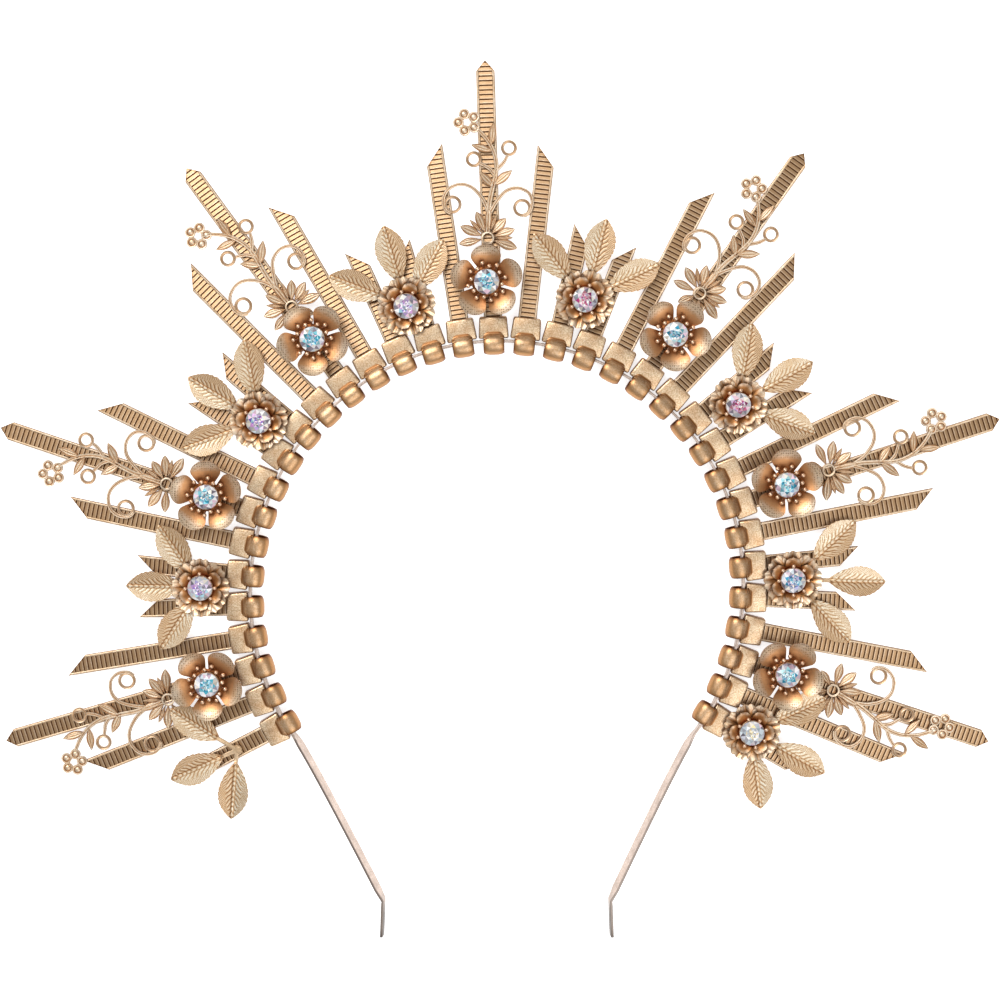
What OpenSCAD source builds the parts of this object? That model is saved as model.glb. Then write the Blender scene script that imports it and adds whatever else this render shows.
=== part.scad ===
// Halo crown: a flat spring band threaded through a row of end caps, each holding one ribbed ray,
// with blossoms, pierced flower sprigs, leaf sprays and rosettes laid on the rays, and faceted stones.
// The crown lies on its back. Z is up, towards its front, and z = 0 is the surface that it rests on.
// The origin is the centre of the band's arch. Y points to the top of the crown, X to its right.
// A station is a direction from the origin, in degrees clockwise from +Y, seen from the front.

/* [Headband] */
// Radius of the band's centreline at the top of the arch
band_r = 72.6; // [68:0.2:76]
// Thickness of the spring strip
strip_t = 0.8; // [0.5:0.1:0.8]
// Depth of the spring strip, from back to front
strip_w = 4; // [3:0.1:4]
// Station where the arch ends and the bare legs begin
arch_end = 127; // [127:0.5:130]
// Half the distance between the bent ends of the legs
leg_half_gap = 34.5; // [30:0.5:40]
// How far the bends lie below the centre of the arch
leg_drop = 97.5; // [85:0.5:105]
// Length of the bent end of each leg
leg_tip = 11.2; // [8:0.2:14]
// Turn of the bare legs about their own length
leg_twist = 19; // [0:1:30]

/* [End caps] */
// Number of end caps on the band, one to each ray
cap_count = 35; // [35:1:35]
// Width of a cap's block
cap_w = 8.6; // [8:0.1:8.7]
// Depth of a cap's block, from back to front
cap_t = 4.2; // [4:0.1:4.6]
// Outer radius of the roll that the strip runs through
roll_r = 3.3; // [3.1:0.05:3.4]
// Wall of that roll
roll_wall = 0.6; // [0.5:0.05:0.65]
// Width of that roll
roll_w = 6.2; // [5:0.1:6.4]

/* [Rays] */
// Width of a ray
ray_w = 5.5; // [5:0.1:5.6]
// Thickness of a ray over its raised borders
ray_t = 1.5; // [1.2:0.1:1.5]
// Width of the raised border on each side
border_w = 0.8; // [0.5:0.1:1]
// Distance from one cross rib to the next
rib_pitch = 1.36; // [1.2:0.02:1.8]
// Radius of the circle that the long rays reach
long_reach = 156.6; // [140:0.1:160]
// Radius of the circle that the medium rays reach
medium_reach = 132.7; // [120:0.1:134]
// Radius of the circle that the short rays reach
short_reach = 109.3; // [104:0.1:110]

/* [Blossoms] */
// Distance from a blossom's centre to the middle of a petal
petal_out = 6.7; // [6.5:0.1:7]
// Radius of a petal's round edge
petal_r = 4.8; // [4.6:0.05:5]
// Width of the slot between two petals
petal_slot = 0.9; // [0.6:0.1:1.2]
// Tilt of a petal, outer rim up
petal_tilt = 17; // [14:1:22]
// Number of stamens round the stone
stamens = 16; // [10:1:16]

/* [Sprigs] */
// Thickness of the pierced sprigs
sprig_t = 0.6; // [0.5:0.05:0.65]
// Width of a sprig's wires
wire_w = 0.75; // [0.6:0.05:0.9]

/* [Rosettes] */
// Number of veined lower petals
lower_petals = 8; // [6:1:8]
// Number of pointed upper petals
upper_petals = 6; // [5:1:6]

/* [Leaf sprays] */
// Length of a leaf's blade
leaf_l = 17.5; // [15:0.5:18]
// Width of a leaf's blade
leaf_w = 9.4; // [8:0.2:10]
// Number of teeth on each side of a leaf
leaf_teeth = 6; // [5:1:8]

/* [Stones] */
// Radius of a stone at its girdle
stone_r = 3.7; // [3.4:0.05:3.75]

/* [Hidden] */
// Gap left between pieces that rest on each other
gap = 0.15;

// The band where it is not quite round: [number of a cap, its station, how far the band lies out there]
BAND = [
    [1, -124.1, 4.3], [5, -95.6, 1.8], [9, -66.7, 0.1], [13, -37.4, -0.6], [18, -0.7, 0],
    [23, 35.7, 0.6], [27, 64.7, 1.1], [31, 93.5, 1.5], [35, 122.3, 2.6]
];
// Degrees that each cap and its ray turn from the radial direction. A row is a long ray, the medium,
// two short and medium rays after it. The crown begins and ends within a row
LEAN = [
    [0, 0, 0, 6.5, 5.2],
    [3.5, 3.4, 4.4, 4, 3.2],
    [2.6, 3, 3.5, 2.5, 0],
    [1.5, 0.2, -1.4, -0.7, -0.4],
    [-1.1, -0.2, -1, -0.3, -1.2],
    [-0.6, 0.2, 0.4, -0.1, -0.6],
    [-0.1, -0.5, -2, -1.2, 0.1],
    [0.4, -2.3, -1.7, 0, 0],
];
// Centre of the circles that the ray tips reach, a little off the centre of the arch
reach_centre = [0.9, -0.6];
// How far each ray passes its circle, or stops short of it where negative, in rows as above
ODD_REACH = [
    [0, 0, 0, 0, 4.4],
    [0.3, 0.5, -0.4, -0.1, -1.3],
    [0, -1.5, -1.5, -1, 0.3],
    [-1.5, -0.6, 0, -2.5, 0],
    [-0.6, -1, 0.9, -0.4, 0.7],
    [0.5, -0.2, 0, 0.4, -0.9],
    [1, 0.4, -0.9, -1.8, -0.8],
    [-1, 0.7, 0, 0, 0],
];
// Blossoms, one on each long ray: [number of its cap, station, distance out]
BLOSSOMS = [
    [3, -109.2, 92.2],
    [8, -73.1, 90.6],
    [13, -36.7, 91.5],
    [18, -1.9, 90.4],
    [23, 35.3, 91.6],
    [28, 70.9, 91.5],
    [33, 107.4, 91.6],
];
// Sprigs, one beyond each blossom: [station, distance out of its daisy, turn of its stem]
SPRIGS = [
    [-109.7, 105.5, -3.3],
    [-73.2, 103.3, -0.7],
    [-36.4, 102.8, -5.7],
    [-1.5, 103.1, 2.2],
    [34.8, 105.7, 2.9],
    [71.1, 105, 4.7],
    [107.9, 106.7, 11.4],
];
// Leaf sprays: [station, distance out, directions of the three leaves from the station's own,
// distances from the middle at which their blades start]
SPRAYS = [
    [-123, 93.8, -52, 9, 66, 3.6, 4.4, 6.2],
    [-90.8, 88.9, -56, 2, 57, 5, 5, 5],
    [-55.4, 86.2, -55, -3, 46, 7.2, 7.2, 7.2],
    [-17.9, 87.3, -51, 2, 47, 7.2, 7.2, 5.2],
    [17.1, 88.9, -55, -2, 47.5, 7.2, 7.2, 7.2],
    [53.2, 89.7, -44, 7, 57, 7.2, 8.2, 7.2],
    [89.3, 88.8, -43, 2, 48, 8.4, 10.5, 8.4],
    [120.5, 89.2, -55, -1, 52, 7.2, 8.2, 6.4],
];
// The first spray is bare, and each of the others carries a rosette
first_rosette = 1;

// Levels above the resting surface
roll_z = roll_r - 0.1;
ray_z = (cap_t - ray_t) / 2;
ray_top = ray_z + ray_t;
laid_z = ray_top + gap;
over_sprig_z = laid_z + sprig_t + 0.3;

// End cap, measured outward from the strip's centreline
roll_in = 0.85;
cap_start = strip_t / 2 + 0.4;
cap_end = 7.3;
cap_edge = 0.7;
cap_flare = 0.2;
roll_end_r = roll_r - 0.9;
pocket_start = 3.3;
bore_r = roll_r - roll_wall;

// Length of strip over which the legs take up their twist, the share of it left in the bent ends,
// and the length of leg over which the arch runs out straight
twist_l = 4;
tip_share = 0.35;
leg_lead = 7;
arch_step = 6;

// Ray, measured outward from the strip's centreline
ray_start = pocket_start + gap;
collar_end = cap_end + 0.4;
groove_w = 0.26;
rib_drop = 0.2;
groove_drop = 0.55;
point_l = 3.2;
slant_l = 6.2;

// Stone and the cup that holds it, both heights from the stone's point
table_r = 0.56 * stone_r;
pavilion_h = 2.2;
girdle_h = 0.3;
crown_h = 1.1;
stone_facets = 16;
cup_r = stone_r + 0.1;
cup_wall = 0.65;

function dir(a) = [sin(a), cos(a)];
function station(i) = lookup(i, [for (b = BAND) [b[0], b[1]]]);
function arch_r(a) = band_r + lookup(a, [for (b = BAND) [b[1], b[2]]]);
function arch(a) = arch_r(a) * dir(a);
function mix(a, b, t) = a + (b - a) * t;
function unit(v) = v / norm(v);

// Corners of a regular polygon, clockwise from +Y
function ring(r, n, z, turn) = [for (j = [0:n - 1]) concat(r * dir(360 / n * j + turn), [z])];

// Smooth curve through the points p, with k steps between neighbours
function curve_at(a, b, c, d, t) =
    (2 * b + (c - a) * t + (2 * a - 5 * b + 4 * c - d) * t * t + (3 * b - a - 3 * c + d) * t * t * t) / 2;
function curve(p, k) = let (n = len(p) - 1) concat(
    [for (i = [0:n - 1]) for (j = [0:k - 1])
        curve_at(p[max(i - 1, 0)], p[i], p[i + 1], p[min(i + 2, n)], j / k)],
    [p[n]]
);

// Outline of a wire along the points p, from width w0 to width w1
function tangent(p, i) = unit(p[min(i + 1, len(p) - 1)] - p[max(i - 1, 0)]);
function left_of(p, i) = let (t = tangent(p, i)) [-t[1], t[0]];
function wire_side(p, w0, w1, side) = [
    for (i = [0:len(p) - 1]) p[i] + left_of(p, i) * side * mix(w0, w1, i / (len(p) - 1)) / 2
];
function reversed(p) = [for (i = [len(p) - 1:-1:0]) p[i]];
function wire(p, w0, w1) = concat(wire_side(p, w0, w1, 1), reversed(wire_side(p, w0, w1, -1)));

// Outline of a pointed petal from the origin towards +Y, widest at the share fat of its length
function petal_width(t, fat) = pow(sin(180 * pow(t, ln(0.5) / ln(fat))), 0.9);
function lens(l, w, fat) = let (n = 4) concat(
    [for (i = [0:n]) [w / 2 * petal_width(i / n, fat), l * i / n]],
    [for (i = [n - 1:-1:1]) [-w / 2 * petal_width(i / n, fat), l * i / n]]
);

// Puts a piece at a station, its +Y outward, and turns it there
module at(a, r, turn = 0) {
    rotate([0, 0, -a])
        translate([0, r, 0])
            rotate([0, 0, -turn])
                children();
}

module upright(w) {
    rotate([90, 0, 90])
        translate([0, 0, -w / 2])
            linear_extrude(w)
                children();
}

// A closed sheet of thickness t under the rows of points given for its top
module sheet(rows, t) {
    n = len(rows);
    m = len(rows[0]);
    top = [for (row = rows) each row];
    under = [for (p = top) p - [0, 0, t]];
    low = n * m;
    rim = concat(
        [for (j = [0:m - 1]) j],
        [for (i = [1:n - 1]) i * m + m - 1],
        [for (j = [m - 2:-1:0]) (n - 1) * m + j],
        [for (i = [n - 2:-1:1]) i * m]
    );
    faces = concat(
        [for (i = [0:n - 2]) for (j = [0:m - 2]) let (a = i * m + j)
            each [[a, a + m, a + m + 1], [a, a + m + 1, a + 1]]],
        [for (i = [0:n - 2]) for (j = [0:m - 2]) let (a = low + i * m + j)
            each [[a, a + m + 1, a + m], [a, a + 1, a + m + 1]]],
        [for (k = [0:len(rim) - 1]) let (a = rim[k], b = rim[(k + 1) % len(rim)])
            each [[a, b, low + b], [a, low + b, low + a]]]
    );
    polyhedron(concat(top, under), faces);
}

// The spring strip, swept along its path as one body
function leg_path(side) = let (
    a = side * arch_end,
    start = arch(a),
    heading = unit(arch(a) - arch(a - side * 0.5)),
    bend = [side * leg_half_gap, -leg_drop],
    steer = start + heading * leg_lead
) concat(
    [for (t = [0.08, 0.16, 0.26, 0.4, 0.6, 0.8, 0.92])
        mix(mix(start, steer, t), mix(steer, bend, t), t)],
    [bend, bend + [side * 0.1, -1.5], bend + [side * 0.2, -5], bend + [side * 0.5, -leg_tip]]
);
function strip_path() = concat(
    reversed(leg_path(-1)),
    [for (a = [-arch_end:arch_step:arch_end]) arch(a)],
    leg_path(1)
);
// The twist begins below the last cap and mostly ends before the bend
function leg_share(p) = let (below = arch(arch_end)[1] - p[1], above = p[1] + leg_drop)
    min(max(below / twist_l, 0), max(tip_share + above / twist_l, tip_share), 1);

module headband() {
    path = strip_path();
    n = len(path);
    corners = [[-1, -1], [1, -1], [1, 1], [-1, 1]];
    points = [
        for (i = [0:n - 1]) let (
            out = left_of(path, i),
            twist = leg_twist * leg_share(path[i]),
            across = [out[0] * cos(twist), out[1] * cos(twist), -sin(twist)],
            deep = [out[0] * sin(twist), out[1] * sin(twist), cos(twist)]
        ) for (c = corners)
            [path[i][0], path[i][1], roll_z] + across * c[0] * strip_t / 2 + deep * c[1] * strip_w / 2
    ];
    faces = concat(
        [[0, 1, 2], [0, 2, 3]],
        [for (i = [0:n - 2]) for (k = [0:3]) let (a = 4 * i + k, b = 4 * i + (k + 1) % 4)
            each [[a, a + 4, b + 4], [a, b + 4, b]]],
        [[4 * n - 4, 4 * n - 2, 4 * n - 3], [4 * n - 4, 4 * n - 1, 4 * n - 2]]
    );
    color("Silver")
        polyhedron(points, faces);
}

// Puts a piece on the band at cap number i. A row of five rays begins with the long one
function place(i) = (i + 2) % 5;
function lean(i) = LEAN[floor((i + 2) / 5)][place(i)];
module at_cap(i) {
    at(station(i), arch_r(station(i)), lean(i))
        children();
}

// One end cap: a block with a pocket for the ray, and the roll that the strip runs through
module cap_block() {
    e = cap_edge;
    half = cap_w / 2;
    intersection() {
        translate([0, 0, -1])
            linear_extrude(cap_t + 2)
                polygon([
                    [-half - cap_flare, cap_start], [half + cap_flare, cap_start],
                    [half - cap_flare, cap_end - e], [half - cap_flare - e, cap_end],
                    [cap_flare + e - half, cap_end], [cap_flare - half, cap_end - e]
                ]);
        upright(w = cap_w + 4)
            polygon([
                [cap_start - 1, 0], [cap_end - e, 0], [cap_end + 1, e + 1],
                [cap_end + 1, cap_t - e - 1], [cap_end - e, cap_t], [cap_start - 1, cap_t]
            ]);
        rotate([90, 0, 0])
            translate([0, 0, -cap_end - 1])
                linear_extrude(cap_end + 2)
                    polygon([
                        [e / 2 - half, 0], [half - e / 2, 0], [half + 1, e / 2 + 1],
                        [half + 1, cap_t - e / 2 - 1], [half - e / 2, cap_t], [e / 2 - half, cap_t],
                        [-half - 1, cap_t - e / 2 - 1], [-half - 1, e / 2 + 1]
                    ]);
    }
}

module cap_roll() {
    half = roll_w / 2;
    belly = half / 3;
    intersection() {
        translate([0, -roll_in, roll_z])
            rotate([0, 90, 0])
                rotate_extrude($fn = 48)
                    polygon([
                        [0, -half], [roll_end_r, -half], [roll_r, -belly],
                        [roll_r, belly], [roll_end_r, half], [0, half]
                    ]);
        translate([-roll_w, -2 * roll_r, 0])
            cube([2 * roll_w, 4 * roll_r, 3 * roll_r]);
    }
}

module end_cap() {
    difference() {
        union() {
            cap_block();
            cap_roll();
        }
        translate([-roll_w / 2 - 0.1, -roll_in, roll_z])
            rotate([0, 90, 0])
                cylinder(r = bore_r, h = roll_w + 0.2, $fn = 48);
        translate([-ray_w / 2 - gap, pocket_start, ray_z - gap])
            cube([ray_w + 2 * gap, cap_end, ray_t + 2 * gap]);
    }
}

module band_caps() {
    color("Peru")
        for (i = [1:cap_count])
            at_cap(i)
                end_cap();
}

// One ray: a ribbed bar with raised borders, cut to a point or a slant
function odd_reach(i) = ODD_REACH[floor((i + 2) / 5)][place(i)];
function ray_length(i, reach) = let (a = station(i), d = dir(a + lean(i)))
    reach + odd_reach(i) + (reach_centre - arch(a)) * d;

module ray_bar(outline, length) {
    ribs = ceil((length - collar_end) / rib_pitch);
    rib_z = ray_top - rib_drop;
    groove_z = ray_top - groove_drop;
    profile = concat(
        [[ray_start, ray_z], [ray_start, ray_top - 0.1], [collar_end, ray_top - 0.1]],
        [for (k = [0:ribs - 1]) let (y = collar_end + k * rib_pitch)
            each [[y, groove_z], [y + groove_w, rib_z]]],
        [[collar_end + ribs * rib_pitch, groove_z], [collar_end + ribs * rib_pitch, ray_z]]
    );
    intersection() {
        linear_extrude(ray_top + 1)
            polygon(outline);
        union() {
            upright(w = ray_w - border_w)
                polygon(profile);
            for (side = [-1, 1])
                translate([side * (ray_w / 2 - border_w / 2 + 0.5) - border_w / 2 - 0.5, ray_start, ray_z])
                    cube([border_w + 1, length + 1, ray_t]);
        }
    }
}

module pointed_ray(length) {
    h = ray_w / 2;
    ray_bar([
        [-h, ray_start], [h, ray_start], [h, length - point_l], [0, length], [-h, length - point_l]
    ], length);
}

// side is 1 when the tip is on the clockwise edge
module slanted_ray(length, side) {
    h = ray_w / 2;
    ray_bar([
        [-h, ray_start], [h, ray_start],
        [h, length - (side > 0 ? 0 : slant_l)], [-h, length - (side > 0 ? slant_l : 0)]
    ], length);
}

module long_ray(k) {
    i = BLOSSOMS[k][0];
    color("BurlyWood")
        at_cap(i)
            pointed_ray(ray_length(i, long_reach));
}

// The rays at the place first of each row, and their mirror images at the place 5 - first
module slanted_rays(reach, first) {
    color("BurlyWood")
        for (i = [1:cap_count])
            if (place(i) == first || place(i) == 5 - first)
                at_cap(i)
                    slanted_ray(ray_length(i, reach), place(i) == first ? -1 : 1);
}

module medium_rays() {
    slanted_rays(medium_reach, 1);
}

module short_rays() {
    slanted_rays(short_reach, 2);
}

// A cup on a round pad, with a hollow for the stone's point. The pad starts at z0, the stone at z1
module stone_cup(z0, z1, pad_r, pad_t) {
    rim = z1 + pavilion_h * (cup_r - cup_wall) / stone_r - 0.1;
    difference() {
        translate([0, 0, z0]) {
            cylinder(r = pad_r, h = pad_t, $fn = 48);
            cylinder(r = cup_r, h = rim - z0, $fn = 48);
        }
        translate([0, 0, z1 - gap])
            cylinder(r = cup_r - cup_wall, h = pavilion_h, $fn = 48);
    }
}

// A stamen or claw: a pin from the cup to a small ball. Both ends are [distance out, height]
module pin_ball(foot, head, pin_r, ball_r) {
    run = head - foot;
    translate([0, foot[0], foot[1]])
        rotate([-atan2(run[0], run[1]), 0, 0])
            cylinder(r = pin_r, h = norm(run), $fn = 4);
    translate([0, head[0], head[1]])
        sphere(r = ball_r, $fn = 16);
}

// Blossom: five cupped petals parted by slots, a ring of stamens and the stone's cup, in one
petal_t = 0.5;
petal_rise = 1.2;
petal_foot = 0.75;
petal_middle = 0.35;
petal_sides = 8;
slot_start = 5.2;
blossom_foot_r = 3.4;
petal_z = over_sprig_z + 1.7;
blossom_pad_r = 4.7;
blossom_pad_t = 0.7;
blossom_stone_z = petal_z + 0.25;
stamen_r = 0.28;
stamen_ball_r = 0.67;
stamen_foot = [4.2, 0.4];
// Balls of the stamens by turns: [distance out, height over the petals' level]
STAMEN_BALLS = [[4.6, 2], [5.6, 1.6]];

// A round petal as a shallow bowl: a middle fan and a steeper ring up to the rim, over a conical outside
function thousandths(p) = [for (v = p) round(v * 1000) / 1000];
module petal_bowl() {
    n = petal_sides;
    rim = [for (p = ring(petal_r, n, 0, 0)) thousandths(p)];
    points = concat(
        [[0, 0, 0]],
        [for (p = rim) [p[0] / 2, p[1] / 2, petal_middle]],
        [for (p = rim) [p[0], p[1], petal_rise]],
        [for (p = rim) [p[0], p[1], petal_rise - petal_t]],
        [[0, 0, -petal_foot]]
    );
    faces = [
        for (j = [0:n - 1]) let (i = (j + 1) % n, in = 1, out = 1 + n, low = 1 + 2 * n, foot = 1 + 3 * n) each [
            [0, in + j, in + i],
            [in + j, out + j, out + i], [in + j, out + i, in + i],
            [out + j, low + j, low + i], [out + j, low + i, out + i],
            [foot, low + i, low + j]
        ]
    ];
    polyhedron(points, faces);
}

module blossom(k) {
    at(BLOSSOMS[k][1], BLOSSOMS[k][2])
        color("Chocolate") {
            translate([0, 0, laid_z])
                cylinder(r = blossom_foot_r, h = petal_z - laid_z + 0.05, $fn = 48);
            stone_cup(petal_z, blossom_stone_z, blossom_pad_r, blossom_pad_t);
            difference() {
                for (j = [0:4])
                    rotate([0, 0, 72 * j])
                        translate([0, petal_out, petal_z + petal_t])
                            rotate([petal_tilt, 0, 0])
                                petal_bowl();
                for (j = [0:4])
                    rotate([0, 0, 72 * j + 36])
                        translate([-petal_slot / 2, slot_start, petal_z - petal_r])
                            cube([petal_slot, 2 * petal_r, 3 * petal_r]);
            }
            for (j = [0:stamens - 1])
                rotate([0, 0, 360 / stamens * (j + 0.5)])
                    pin_ball(
                        stamen_foot + [0, petal_z], STAMEN_BALLS[j % 2] + [0, petal_z],
                        stamen_r, stamen_ball_r
                    );
        }
}

// Pierced sprig: a daisy round a hub, its stem with leaves, rings and scrolls, and a small flower
hub_r = 2;
hub_hole_r = 1.35;
// Petals of the daisy: [direction, clockwise from the stem's own, length, width]
DAISY = [
    [-102, 8.6, 2.6], [-67, 8.8, 2.9], [-45, 7.6, 1.3], [-24, 8.5, 2.7], [2, 8.8, 2.3], [20, 7.6, 1.3],
    [42, 8, 2.8], [71, 8.5, 2.7], [88, 7.4, 1.3], [108, 9.2, 3], [150, 7, 2.4], [-150, 7, 2.4]
];
// The stem and the wires beside it, each as a line of points
STEM = [
    [0, 1.6], [0.3, 9.4], [1.1, 14], [2.1, 18.5], [2.3, 21.8], [1.5, 25.4], [-0.5, 29], [-3.4, 32], [-5, 33]
];
LEFT_SCROLL = [
    [0.2, 7], [-1.3, 11], [-4.4, 14.6], [-8, 15.8], [-11.7, 14.4], [-13.3, 11.2], [-12.6, 8.2], [-11, 7.2]
];
RIGHT_SCROLL = [
    [0.4, 7], [2.4, 10.6], [5.2, 13.9], [8.8, 14.9], [12, 13.5], [13.1, 10.6], [12.2, 7.7], [10.6, 6.6]
];
LEFT_TWIG = [[2.1, 18], [0.6, 20.2], [-1.2, 21.4], [-2.4, 22]];
RIGHT_TWIG = [[2.2, 20], [4.2, 22], [5.2, 23.6], [5.6, 24.6]];
// Rings of wire: [x, y, outer radius]
RINGS = [[-10.5, 9.8, 2.7], [10.1, 9.1, 2.7], [6, 26.6, 2.4], [-4.4, 23.2, 2.4]];
// Leaves on the stem: [x, y, direction, length, width]
STEM_LEAVES = [
    [0.7, 27.4, 6, 6.6, 2.4],
    [1.2, 25.6, -74, 6.6, 2.3],
    [1.7, 15, -44, 6.4, 2.5],
    [1.6, 15.6, 50, 7, 2.6],
];
flower_x = -6.5;
flower_y = 34;
flower_ring_r = 2.55;
flower_hole_r = 1.3;
knob_r = 1.6;
boss_r = 0.9;
stem_w = 1.1;
relief = 0.2;

// Puts the child at each petal and leaf, and gives it that blade's length, width and fattest place
module each_blade() {
    for (p = DAISY)
        rotate([0, 0, -p[0]])
            translate([0, hub_hole_r + 0.3]) {
                $blade = [p[1] - hub_hole_r - 0.3, p[2], 0.56];
                children();
            }
    for (p = STEM_LEAVES)
        translate([p[0], p[1]])
            rotate([0, 0, -p[2]]) {
                $blade = [p[3], p[4], 0.5];
                children();
            }
}

module blade() {
    polygon(lens($blade[0], $blade[1], $blade[2]));
}

// The raised middle of a blade
module blade_ridge() {
    l = $blade[0];
    w = $blade[1] / 5;
    polygon([[0, 0.2 * l], [w, 0.6 * l], [0, 0.85 * l], [-w, 0.6 * l]]);
}

module wires() {
    polygon(wire(curve(STEM, 2), stem_w, wire_w));
    for (p = [LEFT_SCROLL, RIGHT_SCROLL, LEFT_TWIG, RIGHT_TWIG])
        polygon(wire(curve(p, 2), 1, wire_w));
}

module flower_knobs(r) {
    translate([flower_x, flower_y])
        for (j = [0:4])
            rotate([0, 0, 72 * j + 20])
                translate([0, flower_ring_r])
                    circle(r = r, $fn = 8);
}

module sprig(k) {
    at(SPRIGS[k][0], SPRIGS[k][1], SPRIGS[k][2])
        color("Wheat") {
            translate([0, 0, laid_z])
                linear_extrude(sprig_t)
                    offset(delta = 0.01)
                        difference() {
                            union() {
                                circle(r = hub_r, $fn = 12);
                                each_blade() blade();
                                wires();
                                for (c = RINGS)
                                    translate([c[0], c[1]])
                                        difference() {
                                            circle(r = c[2], $fn = 14);
                                            circle(r = c[2] - wire_w, $fn = 14);
                                        }
                                flower_knobs(knob_r);
                            }
                            circle(r = hub_hole_r, $fn = 12);
                            translate([flower_x, flower_y])
                                circle(r = flower_hole_r, $fn = 12);
                        }
            translate([0, 0, laid_z + sprig_t - 0.3])
                linear_extrude(0.3 + relief)
                    offset(delta = 0.01) {
                        each_blade() blade_ridge();
                        flower_knobs(boss_r);
                    }
        }
}

// Rosette: a ring of veined lower petals, a ring of pointed upper ones, and claws round the stone's cup
rosette_z = laid_z + sprig_t + gap;
rosette_stone_z = 4.75;
rosette_pad_r = 4.4;
rosette_pad_t = 0.6;
rosette_petal_t = 0.45;
claws = 8;
claw_r = 0.3;
claw_ball_r = 0.6;
claw_foot = [3.5, 5.2];
claw_head = [4.4, 7.3];
// Rows of a lower petal: [distance out, half width, height of its edges, how far its middle is creased down]
LOWER = [[3, 1.2, 4.4, 0], [7.3, 3, 5.8, 0.35], [9.3, 0.9, 6.4, 0.1]];
// Rows of an upper petal, with the same columns
UPPER = [[2.8, 1.6, 5, 0.1], [5.6, 2.5, 6.1, 0.6], [7.6, 0.3, 7.2, 0]];

function petal_rows(table) = [
    for (row = table) [
        for (side = [-1, 0, 1])
            [side * row[1], row[0], row[2] - (side == 0 ? row[3] : 0)]
    ]
];

module rosette(k) {
    spray = SPRAYS[first_rosette + k];
    at(spray[0], spray[1])
        color("Sienna") {
            stone_cup(rosette_z, rosette_stone_z, rosette_pad_r, rosette_pad_t);
            for (j = [0:lower_petals - 1])
                rotate([0, 0, 360 / lower_petals * j])
                    sheet(petal_rows(LOWER), rosette_petal_t);
            for (j = [0:upper_petals - 1])
                rotate([0, 0, 360 / upper_petals * (j + 0.5)])
                    sheet(petal_rows(UPPER), rosette_petal_t);
            for (j = [0:claws - 1])
                rotate([0, 0, 360 / claws * j])
                    pin_ball(claw_foot, claw_head, claw_r, claw_ball_r);
        }
}

// Leaf spray: three toothed, veined leaves on stalks from one small pad
pad_r = 3;
stalk_w = 1.3;
stalk_start = 1.9;
stalk_rise = 4.4;
leaf_t = 0.5;
leaf_arch = 0.6;
leaf_cup = 0.6;
leaf_sweep = 1.6;
leaf_drop = 0.5;
leaf_z = over_sprig_z + leaf_t + 0.1;
stalk_z = laid_z + leaf_t + 0.05;

// Half width of a blade at the share t of its length, smaller between two teeth, and its height there,
// a little lower at its start
function blade_half(t, tooth) = max(leaf_w / 2 * pow(sin(180 * pow(t, 0.92)), 0.85) * (tooth ? 1 : 0.93), 0.3);
function blade_z(t, v, tooth) =
    leaf_z + (leaf_arch - leaf_cup * (1 - abs(v))) * sin(180 * t) + (tooth ? 0.12 : -0.05)
    - leaf_drop * pow(1 - t, 8);
function leaf_rows(start) = concat(
    [for (y = [stalk_start, min(stalk_rise, start - 0.6)])
        [for (v = [-1, 0, 1]) [v * stalk_w / 2, y, stalk_z]]],
    [for (i = [0:2 * leaf_teeth]) let (t = i / (2 * leaf_teeth), tooth = i % 2 == 0)
        [for (v = [-1, 0, 1]) [
            v * blade_half(t, tooth),
            start + leaf_l * t + abs(v) * leaf_sweep * sin(180 * t),
            blade_z(t, v, tooth)
        ]]
    ]
);

module leaf_spray(k) {
    spray = SPRAYS[k];
    at(spray[0], spray[1])
        color("NavajoWhite") {
            translate([0, 0, laid_z])
                cylinder(r = pad_r, h = sprig_t, $fn = 40);
            for (j = [2:4])
                rotate([0, 0, -spray[j]])
                    sheet(leaf_rows(spray[j + 3]), leaf_t);
        }
}

// Stone: a flat table, a crown of facets, a girdle and a pavilion with its point at z
module stone(z) {
    n = stone_facets;
    half = n / 2;
    girdle_z = z + pavilion_h;
    points = concat(
        [[0, 0, z]],
        ring(stone_r, n, girdle_z, 0),
        ring(stone_r, n, girdle_z + girdle_h, 0),
        ring(table_r, half, girdle_z + girdle_h + crown_h, 0)
    );
    low = 1;
    high = 1 + n;
    table = 1 + 2 * n;
    faces = concat(
        [for (j = [0:n - 1]) [0, low + (j + 1) % n, low + j]],
        [for (j = [0:n - 1]) let (i = (j + 1) % n)
            each [[low + j, low + i, high + i], [low + j, high + i, high + j]]],
        [for (j = [0:half - 1]) let (i = (j + 1) % half, mid = 2 * j + 1)
            each [
                [high + 2 * j, high + mid, table + j],
                [table + j, high + mid, table + i],
                [high + mid, high + (mid + 1) % n, table + i]
            ]],
        [[for (j = [0:half - 1]) table + j]]
    );
    polyhedron(points, faces);
}

module blossom_stone(k) {
    color("LightCyan")
        at(BLOSSOMS[k][1], BLOSSOMS[k][2])
            stone(blossom_stone_z);
}

module rosette_stone(k) {
    spray = SPRAYS[first_rosette + k];
    color("Lavender")
        at(spray[0], spray[1])
            stone(rosette_stone_z);
}

blossom_count = len(BLOSSOMS);
spray_count = len(SPRAYS);

headband();
band_caps();
medium_rays();
short_rays();
for (k = [1:blossom_count]) {
    long_ray(k - 1);
    blossom(k - 1);
    blossom_stone(k - 1);
    sprig(k - 1);
}
for (k = [1:spray_count]) {
    leaf_spray(k - 1);
}
for (k = [1:spray_count - first_rosette]) {
    rosette(k - 1);
    rosette_stone(k - 1);
}
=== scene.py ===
"""Looks of the halo crown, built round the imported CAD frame.

Lengths are in millimetres until a mesh becomes a piece, and angles in degrees clockwise from the top.
"""

import math
import random

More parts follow.
